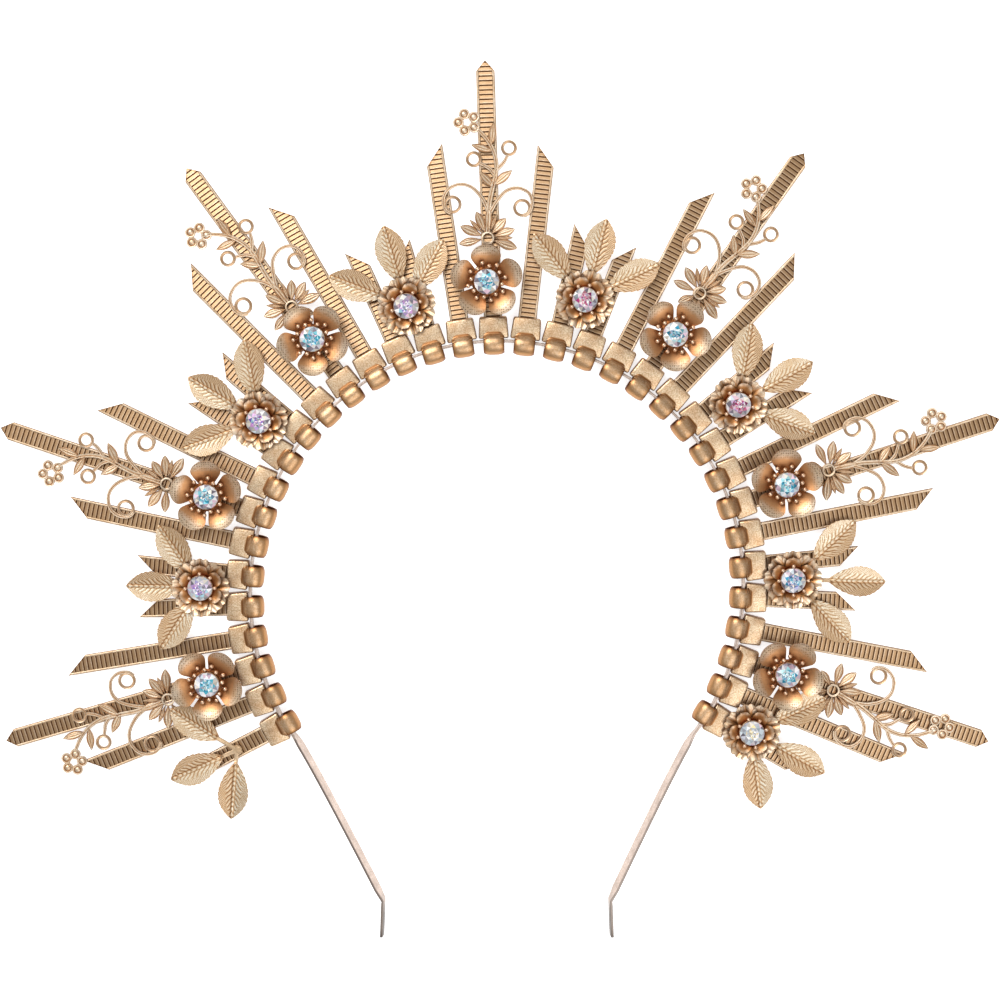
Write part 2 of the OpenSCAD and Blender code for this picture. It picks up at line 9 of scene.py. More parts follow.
import bmesh
import bpy
from mathutils import Matrix, Vector
from mathutils.bvhtree import BVHTree


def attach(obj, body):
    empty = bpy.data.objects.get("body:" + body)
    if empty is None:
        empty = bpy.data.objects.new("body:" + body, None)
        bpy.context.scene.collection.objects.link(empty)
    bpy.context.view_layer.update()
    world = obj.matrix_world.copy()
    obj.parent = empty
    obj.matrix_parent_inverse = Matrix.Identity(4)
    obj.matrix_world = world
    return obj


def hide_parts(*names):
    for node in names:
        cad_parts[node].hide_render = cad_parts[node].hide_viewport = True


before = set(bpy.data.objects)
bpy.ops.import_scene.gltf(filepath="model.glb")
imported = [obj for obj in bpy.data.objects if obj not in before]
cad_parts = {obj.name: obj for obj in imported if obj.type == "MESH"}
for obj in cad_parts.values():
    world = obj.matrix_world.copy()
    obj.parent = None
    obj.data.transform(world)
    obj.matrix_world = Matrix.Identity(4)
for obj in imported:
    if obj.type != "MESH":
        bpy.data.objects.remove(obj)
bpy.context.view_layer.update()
scene = bpy.context.scene


# Headband. One flat spring strip of pinkish steel, swept round the open arch. Its two bare legs are
# twisted a little about their own length, and their ends are bent down and worn grey.
ARCH_R = 72.6
ARCH_END = 127
# Where the band is not quite round: (number of a cap, its station, how far the band lies out there).
BAND = [(1, -124.1, 4.3), (5, -95.6, 1.8), (9, -66.7, 0.1), (13, -37.4, -0.6), (18, -0.7, 0.0),
        (23, 35.7, 0.6), (27, 64.7, 1.1), (31, 93.5, 1.5), (35, 122.3, 2.6)]
STRIP_T = 0.8
STRIP_W = 4.0
STRIP_Z = 3.2
LEG_HALF_GAP = 34.5
LEG_DROP = 97.5
LEG_TIP = 11.2
LEG_TWIST = 19
TWIST_L = 4.0
TIP_SHARE = 0.35
LEG_LEAD = 7.0
LEG_STEPS = 25
LEG_TOP_PATINA = 0.55
# The bend at a leg's end: (outward, upward) from its corner.
LEG_END = [(0, 0), (0.05, -0.6), (0.12, -1.6), (0.2, -4), (0.35, -8), (0.5, -LEG_TIP)]
STRIP_EDGE_R = 0.16


def between(rows, x):
    """The height at x of the line through the rows, each (x, height)."""
    x = min(max(x, rows[0][0]), rows[-1][0])
    for (a, u), (b, v) in zip(rows, rows[1:]):
        if x <= b:
            return u + (v - u) * (x - a) / (b - a)


def arch_r(station):
    return ARCH_R + between([(a, extra) for _, a, extra in BAND], station)


def arch(station):
    a = math.radians(station)
    return arch_r(station) * Vector((math.sin(a), math.cos(a), 0))


def frames_along(path, twist=lambda p: 0):
    """A frame at each point of a flat path: X across it, Y up and Z along it."""
    frames = []
    for i, p in enumerate(path):
        along = (path[min(i + 1, len(path) - 1)] - path[max(i - 1, 0)]).normalized()
        across = Vector((0, 0, 1)).cross(along)
        turn = Matrix((across, (0, 0, 1), along)).transposed().to_4x4()
        frames.append(Matrix.Translation(p) @ turn @ Matrix.Rotation(math.radians(twist(p)), 4, "Z"))
    return frames


def next_row(bm, edges):
    """Extrudes a row of edges in place, and gives the verts and edges of the new row."""
    made = bmesh.ops.extrude_edge_only(bm, edges=edges)["geom"]
    verts = {g for g in made if isinstance(g, bmesh.types.BMVert)}
    return list(verts), [g for g in made if isinstance(g, bmesh.types.BMEdge) and set(g.verts) <= verts]


def sweep(bm, section, frames):
    """Draws a section, a list of (x, y), along the frames as one closed skin."""
    first = bm.faces.new([bm.verts.new(frames[0] @ Vector((x, y, 0))) for x, y in section])
    edges = list(first.edges)
    for here, there in zip(frames, frames[1:]):
        verts, edges = next_row(bm, edges)
        bmesh.ops.transform(bm, matrix=there @ here.inverted(), verts=verts)
    bmesh.ops.contextual_create(bm, geom=edges)


def rounded_bar(w, h, r, steps=3):
    """The outline of a bar's section with round corners."""
    x, y = w / 2 - r, h / 2 - r
    corners = [(x, y, 0), (-x, y, 90), (-x, -y, 180), (x, -y, 270)]
    turns = [(x, y, math.radians(a + 90 * j / steps)) for x, y, a in corners for j in range(steps + 1)]
    return [(x + r * math.cos(a), y + r * math.sin(a)) for x, y, a in turns]


def set_patina_and_shade(bm, depth, verts=None):
    """Keeps how dark each point is painted, 0 to 1, for the metal's own material: patina and painted shade.
    """
    layer = bm.verts.layers.float.get("patina_and_shade") or bm.verts.layers.float.new("patina_and_shade")
    for v in bm.verts if verts is None else verts:
        v[layer] = min(max(depth(v.co), 0), 1)


def as_mesh(name, bm):
    mesh = bpy.data.meshes.new(name)
    bm.to_mesh(mesh)
    bm.free()
    return mesh


def as_piece(name, bm, finishes, sharp=32):
    """Turns a mesh in millimetres into a piece in metres, smooth except at its sharp edges."""
    bmesh.ops.recalc_face_normals(bm, faces=bm.faces)
    bmesh.ops.scale(bm, vec=(0.001, 0.001, 0.001), verts=bm.verts)
    mesh = as_mesh(name, bm)
    for finish in finishes:
        mesh.materials.append(finish)
    mesh.shade_smooth()
    mesh.set_sharp_from_angle(angle=math.radians(sharp))
    piece = bpy.data.objects.new(name, mesh)
    scene.collection.objects.link(piece)
    return piece


def srgb(code):
    """Linear colour of a six-digit sRGB code."""
    parts = [int(code[i:i + 2], 16) / 255 for i in (0, 2, 4)]
    return [c / 12.92 if c <= 0.04045 else ((c + 0.055) / 1.055) ** 2.4 for c in parts] + [1]


def metal(name, pale, mid, warm, deep, rough, grain, grit=0.55, dots=0.0, scratches=0.0):
    """Satin plated metal: pale and mid tones in soft clouds and fine grit, the warm tone where the patina and
    painted shade are light and the deep tone where they are heavy. grain and dots are the heights, in metres,
    of the surface's grain and of a field of punched dimples. grit and scratches are the strengths of specks
    and of fine lines."""
    cloud_scale, grit_scale, wear_scale = 260, 2600, 900
    grain_scale, dot_scale, scratch_scale = 4200, 1500, 300
    finish = bpy.data.materials.new(name)
    finish.use_nodes = True
    nodes, links = finish.node_tree.nodes, finish.node_tree.links
    shader = nodes["Principled BSDF"]
    shader.inputs["Metallic"].default_value = 0.9
    place_of = nodes.new("ShaderNodeTexCoord").outputs["Object"]

    def noise(scale, detail):
        n = nodes.new("ShaderNodeTexNoise")
        n.inputs["Scale"].default_value = scale
        n.inputs["Detail"].default_value = detail
        links.new(place_of, n.inputs["Vector"])
        return n.outputs["Fac"]

    def spread(value, low, high, to_low, to_high):
        m = nodes.new("ShaderNodeMapRange")
        for socket, number in zip(m.inputs[1:5], (low, high, to_low, to_high)):
            socket.default_value = number
        links.new(value, m.inputs["Value"])
        return m.outputs["Result"]

    def mix(kind, factor, a, b):
        m = nodes.new("ShaderNodeMix")
        m.data_type = "RGBA"
        m.blend_type = kind
        for socket, value in ((m.inputs["Factor"], factor), (m.inputs["A"], a), (m.inputs["B"], b)):
            if isinstance(value, bpy.types.NodeSocket):
                links.new(value, socket)
            else:
                socket.default_value = value
        return m.outputs["Result"]

    tone = mix("MIX", spread(noise(cloud_scale, 3), 0.35, 0.7, 0, 1), srgb(pale), srgb(mid))
    tone = mix("MULTIPLY", spread(noise(grit_scale, 2), 0.35, 0.65, 0, grit), tone, srgb("D3BFA8"))
    patina_and_shade = nodes.new("ShaderNodeAttribute")
    patina_and_shade.attribute_name = "patina_and_shade"
    depth = patina_and_shade.outputs["Fac"]
    if dots:
        cells = nodes.new("ShaderNodeTexVoronoi")
        cells.inputs["Scale"].default_value = dot_scale
        cells.inputs["Randomness"].default_value = 0.25
        links.new(place_of, cells.inputs["Vector"])
        tone = mix("MIX", spread(cells.outputs["Distance"], 0.18, 0.46, 0.85, 0), tone, srgb(deep))
    if scratches:
        lines = nodes.new("ShaderNodeTexVoronoi")
        lines.feature = "DISTANCE_TO_EDGE"
        lines.inputs["Scale"].default_value = scratch_scale
        links.new(place_of, lines.inputs["Vector"])
        tone = mix("MIX", spread(lines.outputs["Distance"], 0, 0.05, scratches, 0), tone, srgb(deep))
    # Warm, then deep, where the patina attribute says so: real patina and painted shade.
    tone = mix("MIX", spread(depth, 0, 0.5, 0, 1), tone, srgb(warm))
    links.new(mix("MIX", spread(depth, 0.5, 1, 0, 1), tone, srgb(deep)), shader.inputs["Base Color"])

    links.new(spread(noise(wear_scale, 2), 0, 1, rough - 0.07, rough + 0.1), shader.inputs["Roughness"])
    bump = nodes.new("ShaderNodeBump")
    bump.inputs["Strength"].default_value = 1
    bump.inputs["Distance"].default_value = grain
    links.new(noise(grain_scale, 2), bump.inputs["Height"])
    if dots:
        dimples = nodes.new("ShaderNodeBump")
        dimples.invert = True
        dimples.inputs["Distance"].default_value = dots
        links.new(cells.outputs["Distance"], dimples.inputs["Height"])
        links.new(bump.outputs["Normal"], dimples.inputs["Normal"])
        bump = dimples
    links.new(bump.outputs["Normal"], shader.inputs["Normal"])
    return finish


def leg_path(side):
    start = arch(side * ARCH_END)
    heading = (start - arch(side * (ARCH_END - 0.5))).normalized()
    steer = start + heading * LEG_LEAD
    bend = Vector((side * LEG_HALF_GAP, -LEG_DROP, 0))
    shares = [j / LEG_STEPS for j in range(1, LEG_STEPS)]
    curve = [start.lerp(steer, t).lerp(steer.lerp(bend, t), t) for t in shares]
    return curve + [bend + Vector((side * x, y, 0)) for x, y in LEG_END]


def strip_path():
    arc = [arch(a) for a in range(-ARCH_END, ARCH_END + 1)]
    path = leg_path(-1)[::-1] + arc + leg_path(1)
    return [p + Vector((0, 0, STRIP_Z)) for p in path]


def leg_share(p):
    """The twist begins below the last cap and mostly ends before the bend."""
    begun = max((arch(ARCH_END).y - p.y) / TWIST_L, 0)
    left = max(TIP_SHARE + (p.y + LEG_DROP) / TWIST_L, TIP_SHARE)
    return min(begun, left, 1)


bm = bmesh.new()
strip_frames = frames_along(strip_path(), lambda p: -LEG_TWIST * leg_share(p))
sweep(bm, rounded_bar(STRIP_T, STRIP_W, STRIP_EDGE_R), strip_frames)
set_patina_and_shade(bm, lambda p: (-LEG_DROP + 1 - p.y) / 4)
bmesh.ops.recalc_face_normals(bm, faces=bm.faces)
bm.normal_update()
for v in bm.verts:
    if v.co.y < arch(ARCH_END).y - 2 and v.normal.z > 0.8:
        v[bm.verts.layers.float["patina_and_shade"]] = LEG_TOP_PATINA
spring_steel = metal("spring_steel", "CDBEB5", "BAABA2", "948880", "5E544E", 0.4, 0.000004, scratches=0.2)
strip = as_piece("headband_strip", bm, [spring_steel])
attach(strip, "root")
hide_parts("headband")


# End caps. Thirty-five stamped brass blocks, each with a pocket that grips a ray and a tongue rolled
# over the strip. All are satin gold, with painted shade in the bend between the block and the roll,
# on the blocks' lower sides, and at the rolls' ends, inner side and bore.
CAP_COUNT = 35
CAP_HALF = 4.3
CAP_FLARE = 0.2
CAP_START = 0.8
CAP_END = 7.3
CAP_T = 4.2
CAP_EDGE = 0.6
# The pocket's mouth: two corners, (across, height).
POCKET = ((-2.9, 1.2), (2.9, 3.0))
POCKET_DEEP = 3.6
ROLL_R = 3.3
ROLL_END_R = 2.7
BORE_R = 2.3
ROLL_HALF = 3.1
ROLL_IN = 0.85
BEND_REACH = 2.95
# Degrees that each cap and its ray turn from the radial direction. A row is a long ray and the medium, two
# short and medium rays after it. The crown begins and ends within a row.
LEAN = [(0, 0, 0, 6.5, 5.2),
        (3.5, 3.4, 4.4, 4, 3.2),
        (2.6, 3, 3.5, 2.5, 0),
        (1.5, 0.2, -1.4, -0.7, -0.4),
        (-1.1, -0.2, -1, -0.3, -1.2),
        (-0.6, 0.2, 0.4, -0.1, -0.6),
        (-0.1, -0.5, -2, -1.2, 0.1),
        (0.4, -2.3, -1.7, 0, 0)]


def clockwise(degrees):
    return Matrix.Rotation(-math.radians(degrees), 4, "Z")


def place(station, out, turn=0):
    """Puts a piece at a station, its +Y outward, and turns it there."""
    return clockwise(station) @ Matrix.Translation((0, out, 0)) @ clockwise(turn)


def cap_station(i):
    return between([(number, a) for number, a, _ in BAND], i)


def in_rows(table, i):
    """The value of cap or ray i in a table with the rows of LEAN."""
    row, column = divmod(i + 2, 5)
    return table[row][column]


def cap_place(i):
    a = cap_station(i)
    return place(a, arch_r(a), in_rows(LEAN, i))


def add_copy(bm, mesh, matrix):
    """Adds a copy of a mesh to bm and puts it in place."""
    before = len(bm.verts)
    bm.from_mesh(mesh)
    bm.verts.ensure_lookup_table()
    bmesh.ops.transform(bm, matrix=matrix, verts=bm.verts[before:])


def cap_block(bm):
    verts = bmesh.ops.create_cube(bm, size=2)["verts"]
    for v in verts:
        outer = v.co.y > 0
        v.co = Vector((v.co.x * (CAP_HALF + (-CAP_FLARE if outer else CAP_FLARE)),
                       CAP_END if outer else CAP_START, CAP_T if v.co.z > 0 else 0))
    edges = list({e for v in verts for e in v.link_edges})
    bmesh.ops.bevel(bm, geom=edges, offset=CAP_EDGE, segments=3, profile=0.5, affect="EDGES", material=-1)
    end = max((f for f in bm.faces if f.normal.y > 0.9), key=lambda f: f.calc_area())
    bmesh.ops.inset_region(bm, faces=[end], thickness=0.3)
    (x0, z0), (x1, z1) = POCKET
    for v in end.verts:
        v.co.x = x1 if v.co.x > 0 else x0
        v.co.z = z1 if v.co.z > CAP_T / 2 else z0
    floor_of_pocket = bmesh.ops.extrude_discrete_faces(bm, faces=[end])["faces"][0]
    bmesh.ops.translate(bm, vec=(0, -POCKET_DEEP, 0), verts=floor_of_pocket.verts)


def spin_round(bm, geom, centre, axis, steps):
    """Turns a section right round an axis and closes the skin where it meets itself."""
    bmesh.ops.spin(bm, geom=geom, cent=centre, axis=axis, angle=math.tau, steps=steps, use_merge=True)


def cap_roll(bm):
    """The roll, a barrel with a bore, turned about the band from its section."""
    centre = Vector((0, -ROLL_IN, STRIP_Z))
    crown = [(u / 7 * ROLL_HALF, ROLL_R - (ROLL_R - ROLL_END_R) * abs(u / 7) ** 3.5) for u in range(-7, 8)]
    bore = [(ROLL_HALF - 0.2, BORE_R), (0.2 - ROLL_HALF, BORE_R)]
    verts = [bm.verts.new(centre + Vector((x, 0, r))) for x, r in crown + bore]
    edges = [bm.edges.new((a, b)) for a, b in zip(verts, verts[1:] + verts[:1])]
    spin_round(bm, verts + edges, centre, (1, 0, 0), 40)
    for v in bm.verts:
        v.co.z = max(v.co.z, 0)


def cap_bend(bm):
    """The hollow bend from the block's flat top up on to the roll, round at its outer corners."""
    start_y, start_z = 0.9, CAP_T + 0.03
    on_roll = STRIP_Z + math.sqrt(max(ROLL_R ** 2 - (start_y + ROLL_IN) ** 2, 0))
    grid = bmesh.ops.create_grid(bm, x_segments=12, y_segments=8, size=1)["verts"]
    for v in grid:
        u, t = v.co.x, (v.co.y + 1) / 2
        end_y = BEND_REACH - 1.3 * abs(u) ** 5
        y = start_y + (end_y - start_y) * t
        z = start_z + (on_roll - start_z) * (1 - t) ** 2.2
        v.co = Vector((u * (ROLL_HALF - 0.12), y, z))
    faces = list({f for v in grid for f in v.link_faces})
    bmesh.ops.solidify(bm, geom=faces, thickness=0.35)


def roll_shade(p):
    """Brown satin, with painted shade: dark at both rounded ends, in the bore and towards the head."""
    from_axis = math.hypot(p.y + ROLL_IN, p.z - STRIP_Z)
    if from_axis < BORE_R + 0.1:
        return 1
    return 0.24 + 0.75 * abs(p.x / ROLL_HALF) ** 5 + 0.4 * min(max((-2 - p.y) / 2, 0), 1)


def block_shade(p):
    # Painted shade: dark on the block's lower sides and in the bend up on to the roll.
    sides = 0.85 * min(max((CAP_T - 0.2 - p.z) / 0.5, 0), 1)
    in_bend = 0.95 * math.exp(-((p.y - 2.5) / 0.4) ** 2) if abs(p.x) < ROLL_HALF + 0.2 else 0
    return max(sides, in_bend)


bm = bmesh.new()
cap_block(bm)
cap_bend(bm)
set_patina_and_shade(bm, block_shade)
roll = bmesh.new()
cap_roll(roll)
set_patina_and_shade(roll, roll_shade)
bm.from_mesh(as_mesh("one_roll", roll))
cap_mesh = as_mesh("one_cap", bm)
bm = bmesh.new()
for i in range(1, CAP_COUNT + 1):
    add_copy(bm, cap_mesh, cap_place(i))
cap_gold = metal("cap_gold", "ECD9BC", "D8B894", "B5875A", "643414", 0.38, 0.000009, grit=0.95, scratches=0.2)
caps = as_piece("end_caps", bm, [cap_gold])
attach(caps, "root")
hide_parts("band_caps")


# Rays. Bars stamped from ribbed strip, each held in its cap's pocket: raised plain borders, and between
# them rounded cross ribs parted by thin dark grooves. Long rays are ground to a point, the others cut aslant.
RAY_HALF = 2.75
BORDER = 0.8
RAY_Z = 1.35
RAY_TOP = 2.85
RAY_START = 3.45
RIB_START = 7.4
RIB_PITCH = 1.36
# Along one rib: distance from its groove and height, and in a second row how dark it is painted there:
# patina and painted shade in the groove, and a painted highlight on the crest just above it.
RIB_SHAPE = [(0, -0.3), (0.12, -0.08), (0.22, 0.02), (0.42, 0.02), (0.56, -0.04), (1.1, -0.04),
             (1.24, -0.12)]
RIB_SHADE = [(0, 1), (0.12, 0.7), (0.22, 0.16), (0.42, 0.18), (0.56, 0.46), (1.1, 0.4),
             (1.24, 0.75), (1.36, 0.95)]
RIB_TOP = 2.72
BED_START_DROP = 0.12
BAR_EDGE_R = 0.3
POINT_L = 3.2
SLANT_L = 6.2
TIP_LINE_W = 0.3
REACH_CENTRE = Vector((0.9, -0.6, 0))
LONG_REACH = 156.6
MEDIUM_REACH = 132.7
SHORT_REACH = 109.3
# How far each ray passes its circle, or stops short of it where negative, in the same rows as LEAN.
ODD_REACH = [(0, 0, 0, 0, 4.4),
             (0.3, 0.5, -0.4, -0.1, -1.3),
             (0, -1.5, -1.5, -1, 0.3),
             (-1.5, -0.6, 0, -2.5, 0),
             (-0.6, -1, 0.9, -0.4, 0.7),
             (0.5, -0.2, 0, 0.4, -0.9),
             (1, 0.4, -0.9, -1.8, -0.8),
             (-1, 0.7, 0, 0, 0)]
LONG_RAYS = [3, 8, 13, 18, 23, 28, 33]


def ray_length(i, reach):
    a = cap_station(i)
    b = math.radians(a + in_rows(LEAN, i))
    heading = Vector((math.sin(b), math.cos(b), 0))
    return reach + in_rows(ODD_REACH, i) + (REACH_CENTRE - arch(a)).dot(heading)


def cut(bm, verts, point, normal):
    """Cuts the geometry of verts by a plane, drops what lies beyond it and closes the cut."""
    edges = list({e for v in verts for e in v.link_edges})
    geom = verts + edges + list({f for v in verts for f in v.link_faces})
    made = bmesh.ops.bisect_plane(bm, geom=geom, plane_co=point, plane_no=normal, clear_outer=True)
    rim = [g for g in made["geom_cut"] if isinstance(g, bmesh.types.BMEdge)]
    bmesh.ops.holes_fill(bm, edges=rim, sides=0)


def ray_bed(bm, length):
    """The ribbed middle of a ray."""
    grooves = [RIB_START + k * RIB_PITCH for k in range(math.ceil((length - RIB_START) / RIB_PITCH))]
    rows = [(RAY_START, -BED_START_DROP)] + [(groove + y, z) for groove in grooves for y, z in RIB_SHAPE]
    half = RAY_HALF - BORDER + 0.1
    row = [bm.verts.new((x, rows[0][0], RIB_TOP + rows[0][1])) for x in (-half, -half / 2, 0, half / 2, half)]
    edges = [bm.edges.new(pair) for pair in zip(row, row[1:])]
    for here, there in zip(rows, rows[1:]):
        verts, edges = next_row(bm, edges)
        bmesh.ops.translate(bm, vec=(0, there[0] - here[0], there[1] - here[1]), verts=verts)


def tip_shade(p, planes):
    """A thin dark line along the cut tip."""
    return max(0.8 - abs((p - point).dot(normal)) / TIP_LINE_W for point, normal in planes)


def bed_shade(p, planes):
    return max(between(RIB_SHADE, (p.y - RIB_START + 0.001) % RIB_PITCH), tip_shade(p, planes))


def ray_mesh(length, planes):
    """One ray along +Y, cut by the planes at its tip: the ribbed bed, then the two borders as smooth bars."""
    bm = bmesh.new()
    ray_bed(bm, length)
    for v in next_row(bm, [e for e in bm.edges if e.is_boundary])[0]:
        v.co.z = RAY_Z + 0.02
    bmesh.ops.holes_fill(bm, edges=[e for e in bm.edges if e.is_boundary], sides=0)
    for point, normal in planes:
        cut(bm, bm.verts[:], point, normal)
    set_patina_and_shade(bm, lambda p: bed_shade(p, planes))
    bed_mesh = as_mesh("one_bed", bm)

    bm = bmesh.new()
    section = [(x, y + (RAY_Z + RAY_TOP) / 2) for x, y in rounded_bar(BORDER, RAY_TOP - RAY_Z, BAR_EDGE_R)]
    upright = Matrix.Rotation(math.radians(-90), 4, "X") @ Matrix.Scale(-1, 4, (0, 1, 0))
    for side in (-1, 1):
        x = side * (RAY_HALF - BORDER / 2)
        ends = [RAY_START, RAY_START + 3, length - SLANT_L - 1, length + 1]
        sweep(bm, section, [Matrix.Translation((x, y, 0)) @ upright for y in ends])
    for point, normal in planes:
        whole = bm.verts[:] + bm.edges[:] + bm.faces[:]
        inside = point - normal * (TIP_LINE_W + 0.05)
        bmesh.ops.bisect_plane(bm, geom=whole, plane_co=inside, plane_no=normal)
        cut(bm, bm.verts[:], point, normal)
    # The borders are painted darker below their tops, as painted shade on their sides, and get the dark tip
    # line.
    set_patina_and_shade(bm, lambda p: max(0.05 + (RAY_TOP - 0.03 - p.z) / 0.16, tip_shade(p, planes)))
    bm.from_mesh(bed_mesh)
    bpy.data.meshes.remove(bed_mesh)
    return as_mesh("one_ray", bm)


def point_planes(length):
    tip = Vector((0, length, 0))
    return [(tip, Vector((side * POINT_L, RAY_HALF, 0)).normalized()) for side in (-1, 1)]


def slant_planes(length, side):
    """side is 1 when the tip is on the clockwise edge."""
    return [(Vector((side * RAY_HALF, length, 0)), Vector((-side * SLANT_L, 2 * RAY_HALF, 0)).normalized())]


ray_gold = metal("ray_gold", "E6D4BC", "D0B492", "B08C66", "5E3418", 0.42, 0.000004)
for k, i in enumerate(LONG_RAYS, 1):
    bm = bmesh.new()
    length = ray_length(i, LONG_REACH)
    add_copy(bm, ray_mesh(length, point_planes(length)), cap_place(i))
    ray = as_piece(f"long_ray_{k}", bm, [ray_gold])
    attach(ray, "root")
    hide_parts(f"long_ray_{k}")

# away is how many rays a set's rays are from the nearest long one.
for name, reach, away, node in (("medium_ray_set", MEDIUM_REACH, 1, "medium_rays"),
                                ("short_ray_set", SHORT_REACH, 2, "short_rays")):
    bm = bmesh.new()
    for i in range(1, CAP_COUNT + 1):
        after_long = (i + 2) % 5
        if after_long in (away, 5 - away):
            length = ray_length(i, reach)
            planes = slant_planes(length, -1 if after_long == away else 1)
            add_copy(bm, ray_mesh(length, planes), cap_place(i))
    rays = as_piece(name, bm, [ray_gold])
    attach(rays, "root")
    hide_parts(node)


# Sprigs. Thin pierced stampings laid on the long rays: a daisy round an open hub, a stem with leaves,
# wire rings and scrolls, and a small flower with five round knobs. They are the palest metal.
SPRIG_Z = 3.45
LEAF_SHEET_T = 0.5
HUB_R = 2.0
HUB_HOLE_R = 1.35
WIRE_W = 0.95
# A sprig: its station, distance out and turn.
SPRIGS = [(-109.7, 105.5, -3.3), (-73.2, 103.3, -0.7), (-36.4, 102.8, -5.7), (-1.5, 103.1, 2.2),
          (34.8, 105.7, 2.9), (71.1, 105, 4.7), (107.9, 106.7, 11.4)]
# A petal of the daisy: its direction, length and width.
DAISY = [(-102, 8.6, 2.6), (-67, 8.8, 2.9), (-45, 7.6, 1.3), (-24, 8.5, 2.7), (2, 8.8, 2.3), (20, 7.6, 1.3),
         (42, 8, 2.8), (71, 8.5, 2.7), (88, 7.4, 1.3), (108, 9.2, 3), (150, 7, 2.4), (-150, 7, 2.4)]
# The wires, from the hub at (0, 0).
STEM = [(0, 1.6), (0.3, 9.4), (1.1, 14), (2.1, 18.5), (2.3, 21.8), (1.5, 25.4), (-0.5, 29), (-3.4, 32),
        (-5, 33)]
LEFT_SCROLL = [(0.2, 7), (-1.3, 11), (-4.4, 14.6), (-8, 15.8), (-11.7, 14.4), (-13.3, 11.2), (-12.6, 8.2),
               (-11, 7.2)]
RIGHT_SCROLL = [(0.4, 7), (2.4, 10.6), (5.2, 13.9), (8.8, 14.9), (12, 13.5), (13.1, 10.6), (12.2, 7.7),
                (10.6, 6.6)]
LEFT_TWIG = [(2.1, 18), (0.6, 20.2), (-1.2, 21.4), (-2.4, 22)]
RIGHT_TWIG = [(2.2, 20), (4.2, 22), (5.2, 23.6), (5.6, 24.6)]
# A ring: its centre and radius. A leaf: its foot, direction, length and width.
RINGS = [(-10.5, 9.8, 2.7), (10.1, 9.1, 2.7), (6, 26.6, 2.4), (-4.4, 23.2, 2.4)]
STEM_LEAVES = [(0.7, 27.4, 6, 6.6, 2.4), (1.2, 25.6, -74, 6.6, 2.3), (1.7, 15, -44, 6.4, 2.5),
               (1.6, 15.6, 50, 7, 2.6)]
FLOWER = (-6.5, 34)
KNOBS = 5
KNOB_TURN = 20
KNOB_OUT = 2.55
KNOB_R = 1.6


def sheet(bm, nx, ny, shape, thick, shade):
    """A sheet of metal: a grid of (across, along), from -1 to 1 and 0 to 1, shaped to its top and given its
    patina and painted shade, with a back painted dark."""
    layer = bm.verts.layers.float.get("patina_and_shade") or bm.verts.layers.float.new("patina_and_shade")
    verts = bmesh.ops.create_grid(bm, x_segments=nx, y_segments=ny, size=1)["verts"]
    for v in verts:
        u, t = v.co.x, (v.co.y + 1) / 2
        v.co = Vector(shape(u, t))
        v[layer] = min(max(shade(u, t), 0), 1)
    faces = list({f for v in verts for f in v.link_faces})
    rim = {e for f in faces for e in f.edges if e.is_boundary}
    back = bmesh.ops.duplicate(bm, geom=faces)
    flipped = [g for g in back["geom"] if isinstance(g, bmesh.types.BMFace)]
    lower = [g for g in back["geom"] if isinstance(g, bmesh.types.BMVert)]
    bmesh.ops.translate(bm, vec=(0, 0, -thick), verts=lower)
    # The back is painted dark, which also darkens the sheet's edge walls: painted shade.
    for v in lower:
        v[layer] = 0.9
    lower_rim = {e for f in flipped for e in f.edges if e.is_boundary}
    bmesh.ops.reverse_faces(bm, faces=flipped)
    bmesh.ops.bridge_loops(bm, edges=list(rim | lower_rim))
    return verts + lower


def lens_half(t, w, fat):
    """Half the width of a lens-shaped leaf at t of its length. It is widest at fat."""
    return max(w / 2 * math.sin(math.pi * t ** (math.log(0.5) / math.log(fat))) ** 0.9, 0.1)


def raised_leaf(bm, matrix, length, w, fat, start=0.0):
    """A small stamped petal: two thin raised lines along each edge, a hollow painted brown and a low midrib.
    """
    def shape(u, t):
        lines = 0.3 * math.exp(-((abs(u) - 0.9) / 0.1) ** 2) + 0.24 * math.exp(-((abs(u) - 0.58) / 0.12) ** 2)
        midrib = 0.2 * max(0, 1 - abs(u) / 0.16) * min(1, math.sin(math.pi * t) * 1.6)
        return (u * lens_half(0.02 + 0.96 * t, w, fat), start + t * (length - start), 0.05 + lines + midrib)

    # Dark in the groove between the lines, in the hollow and at the edge: patina and painted shade. Darker
    # near the foot.
    def shade(u, t):
        groove = 0.75 * math.exp(-((abs(u) - 0.74) / 0.08) ** 2)
        hollow = 0.34 * math.exp(-(u / 0.34) ** 2) * min(1, math.sin(math.pi * t) * 1.6)
        return max(groove, hollow, 0.5 - 2.8 * t, 0.5 * (abs(u) > 0.99))

    verts = sheet(bm, 18, 14, shape, LEAF_SHEET_T, shade)
    bmesh.ops.transform(bm, matrix=matrix, verts=verts)


def spline(points, steps):
    """A smooth curve through the points, each a Vector."""
    last = len(points) - 1
    curve = []
    for i in range(last):
        a, b, c, d = points[max(i - 1, 0)], points[i], points[i + 1], points[min(i + 2, last)]
        for j in range(steps):
            t = j / steps
            curve.append((2 * b + (c - a) * t + (2 * a - 5 * b + 4 * c - d) * t ** 2
                          + (3 * b - a - 3 * c + d) * t ** 3) / 2)
    return curve + [points[-1]]


def wire(bm, points, w0, w1, z):
    """A flat wire with a groove along its middle, as two wires laid side by side."""
    path = spline([Vector((x, y, z)) for x, y in points], 6)
    frames = frames_along(path)
    half = [(-0.5, 0), (-0.5, 0.4), (-0.36, 0.56), (-0.16, 0.54)]
    section = half + [(0, 0.34)] + [(-x, y) for x, y in half[::-1]]
    widths = [w0 + (w1 - w0) * i / (len(frames) - 1) for i in range(len(frames))]
    sweep(bm, section, [f @ Matrix.Diagonal((w, 1, 1, 1)) for f, w in zip(frames, widths)])


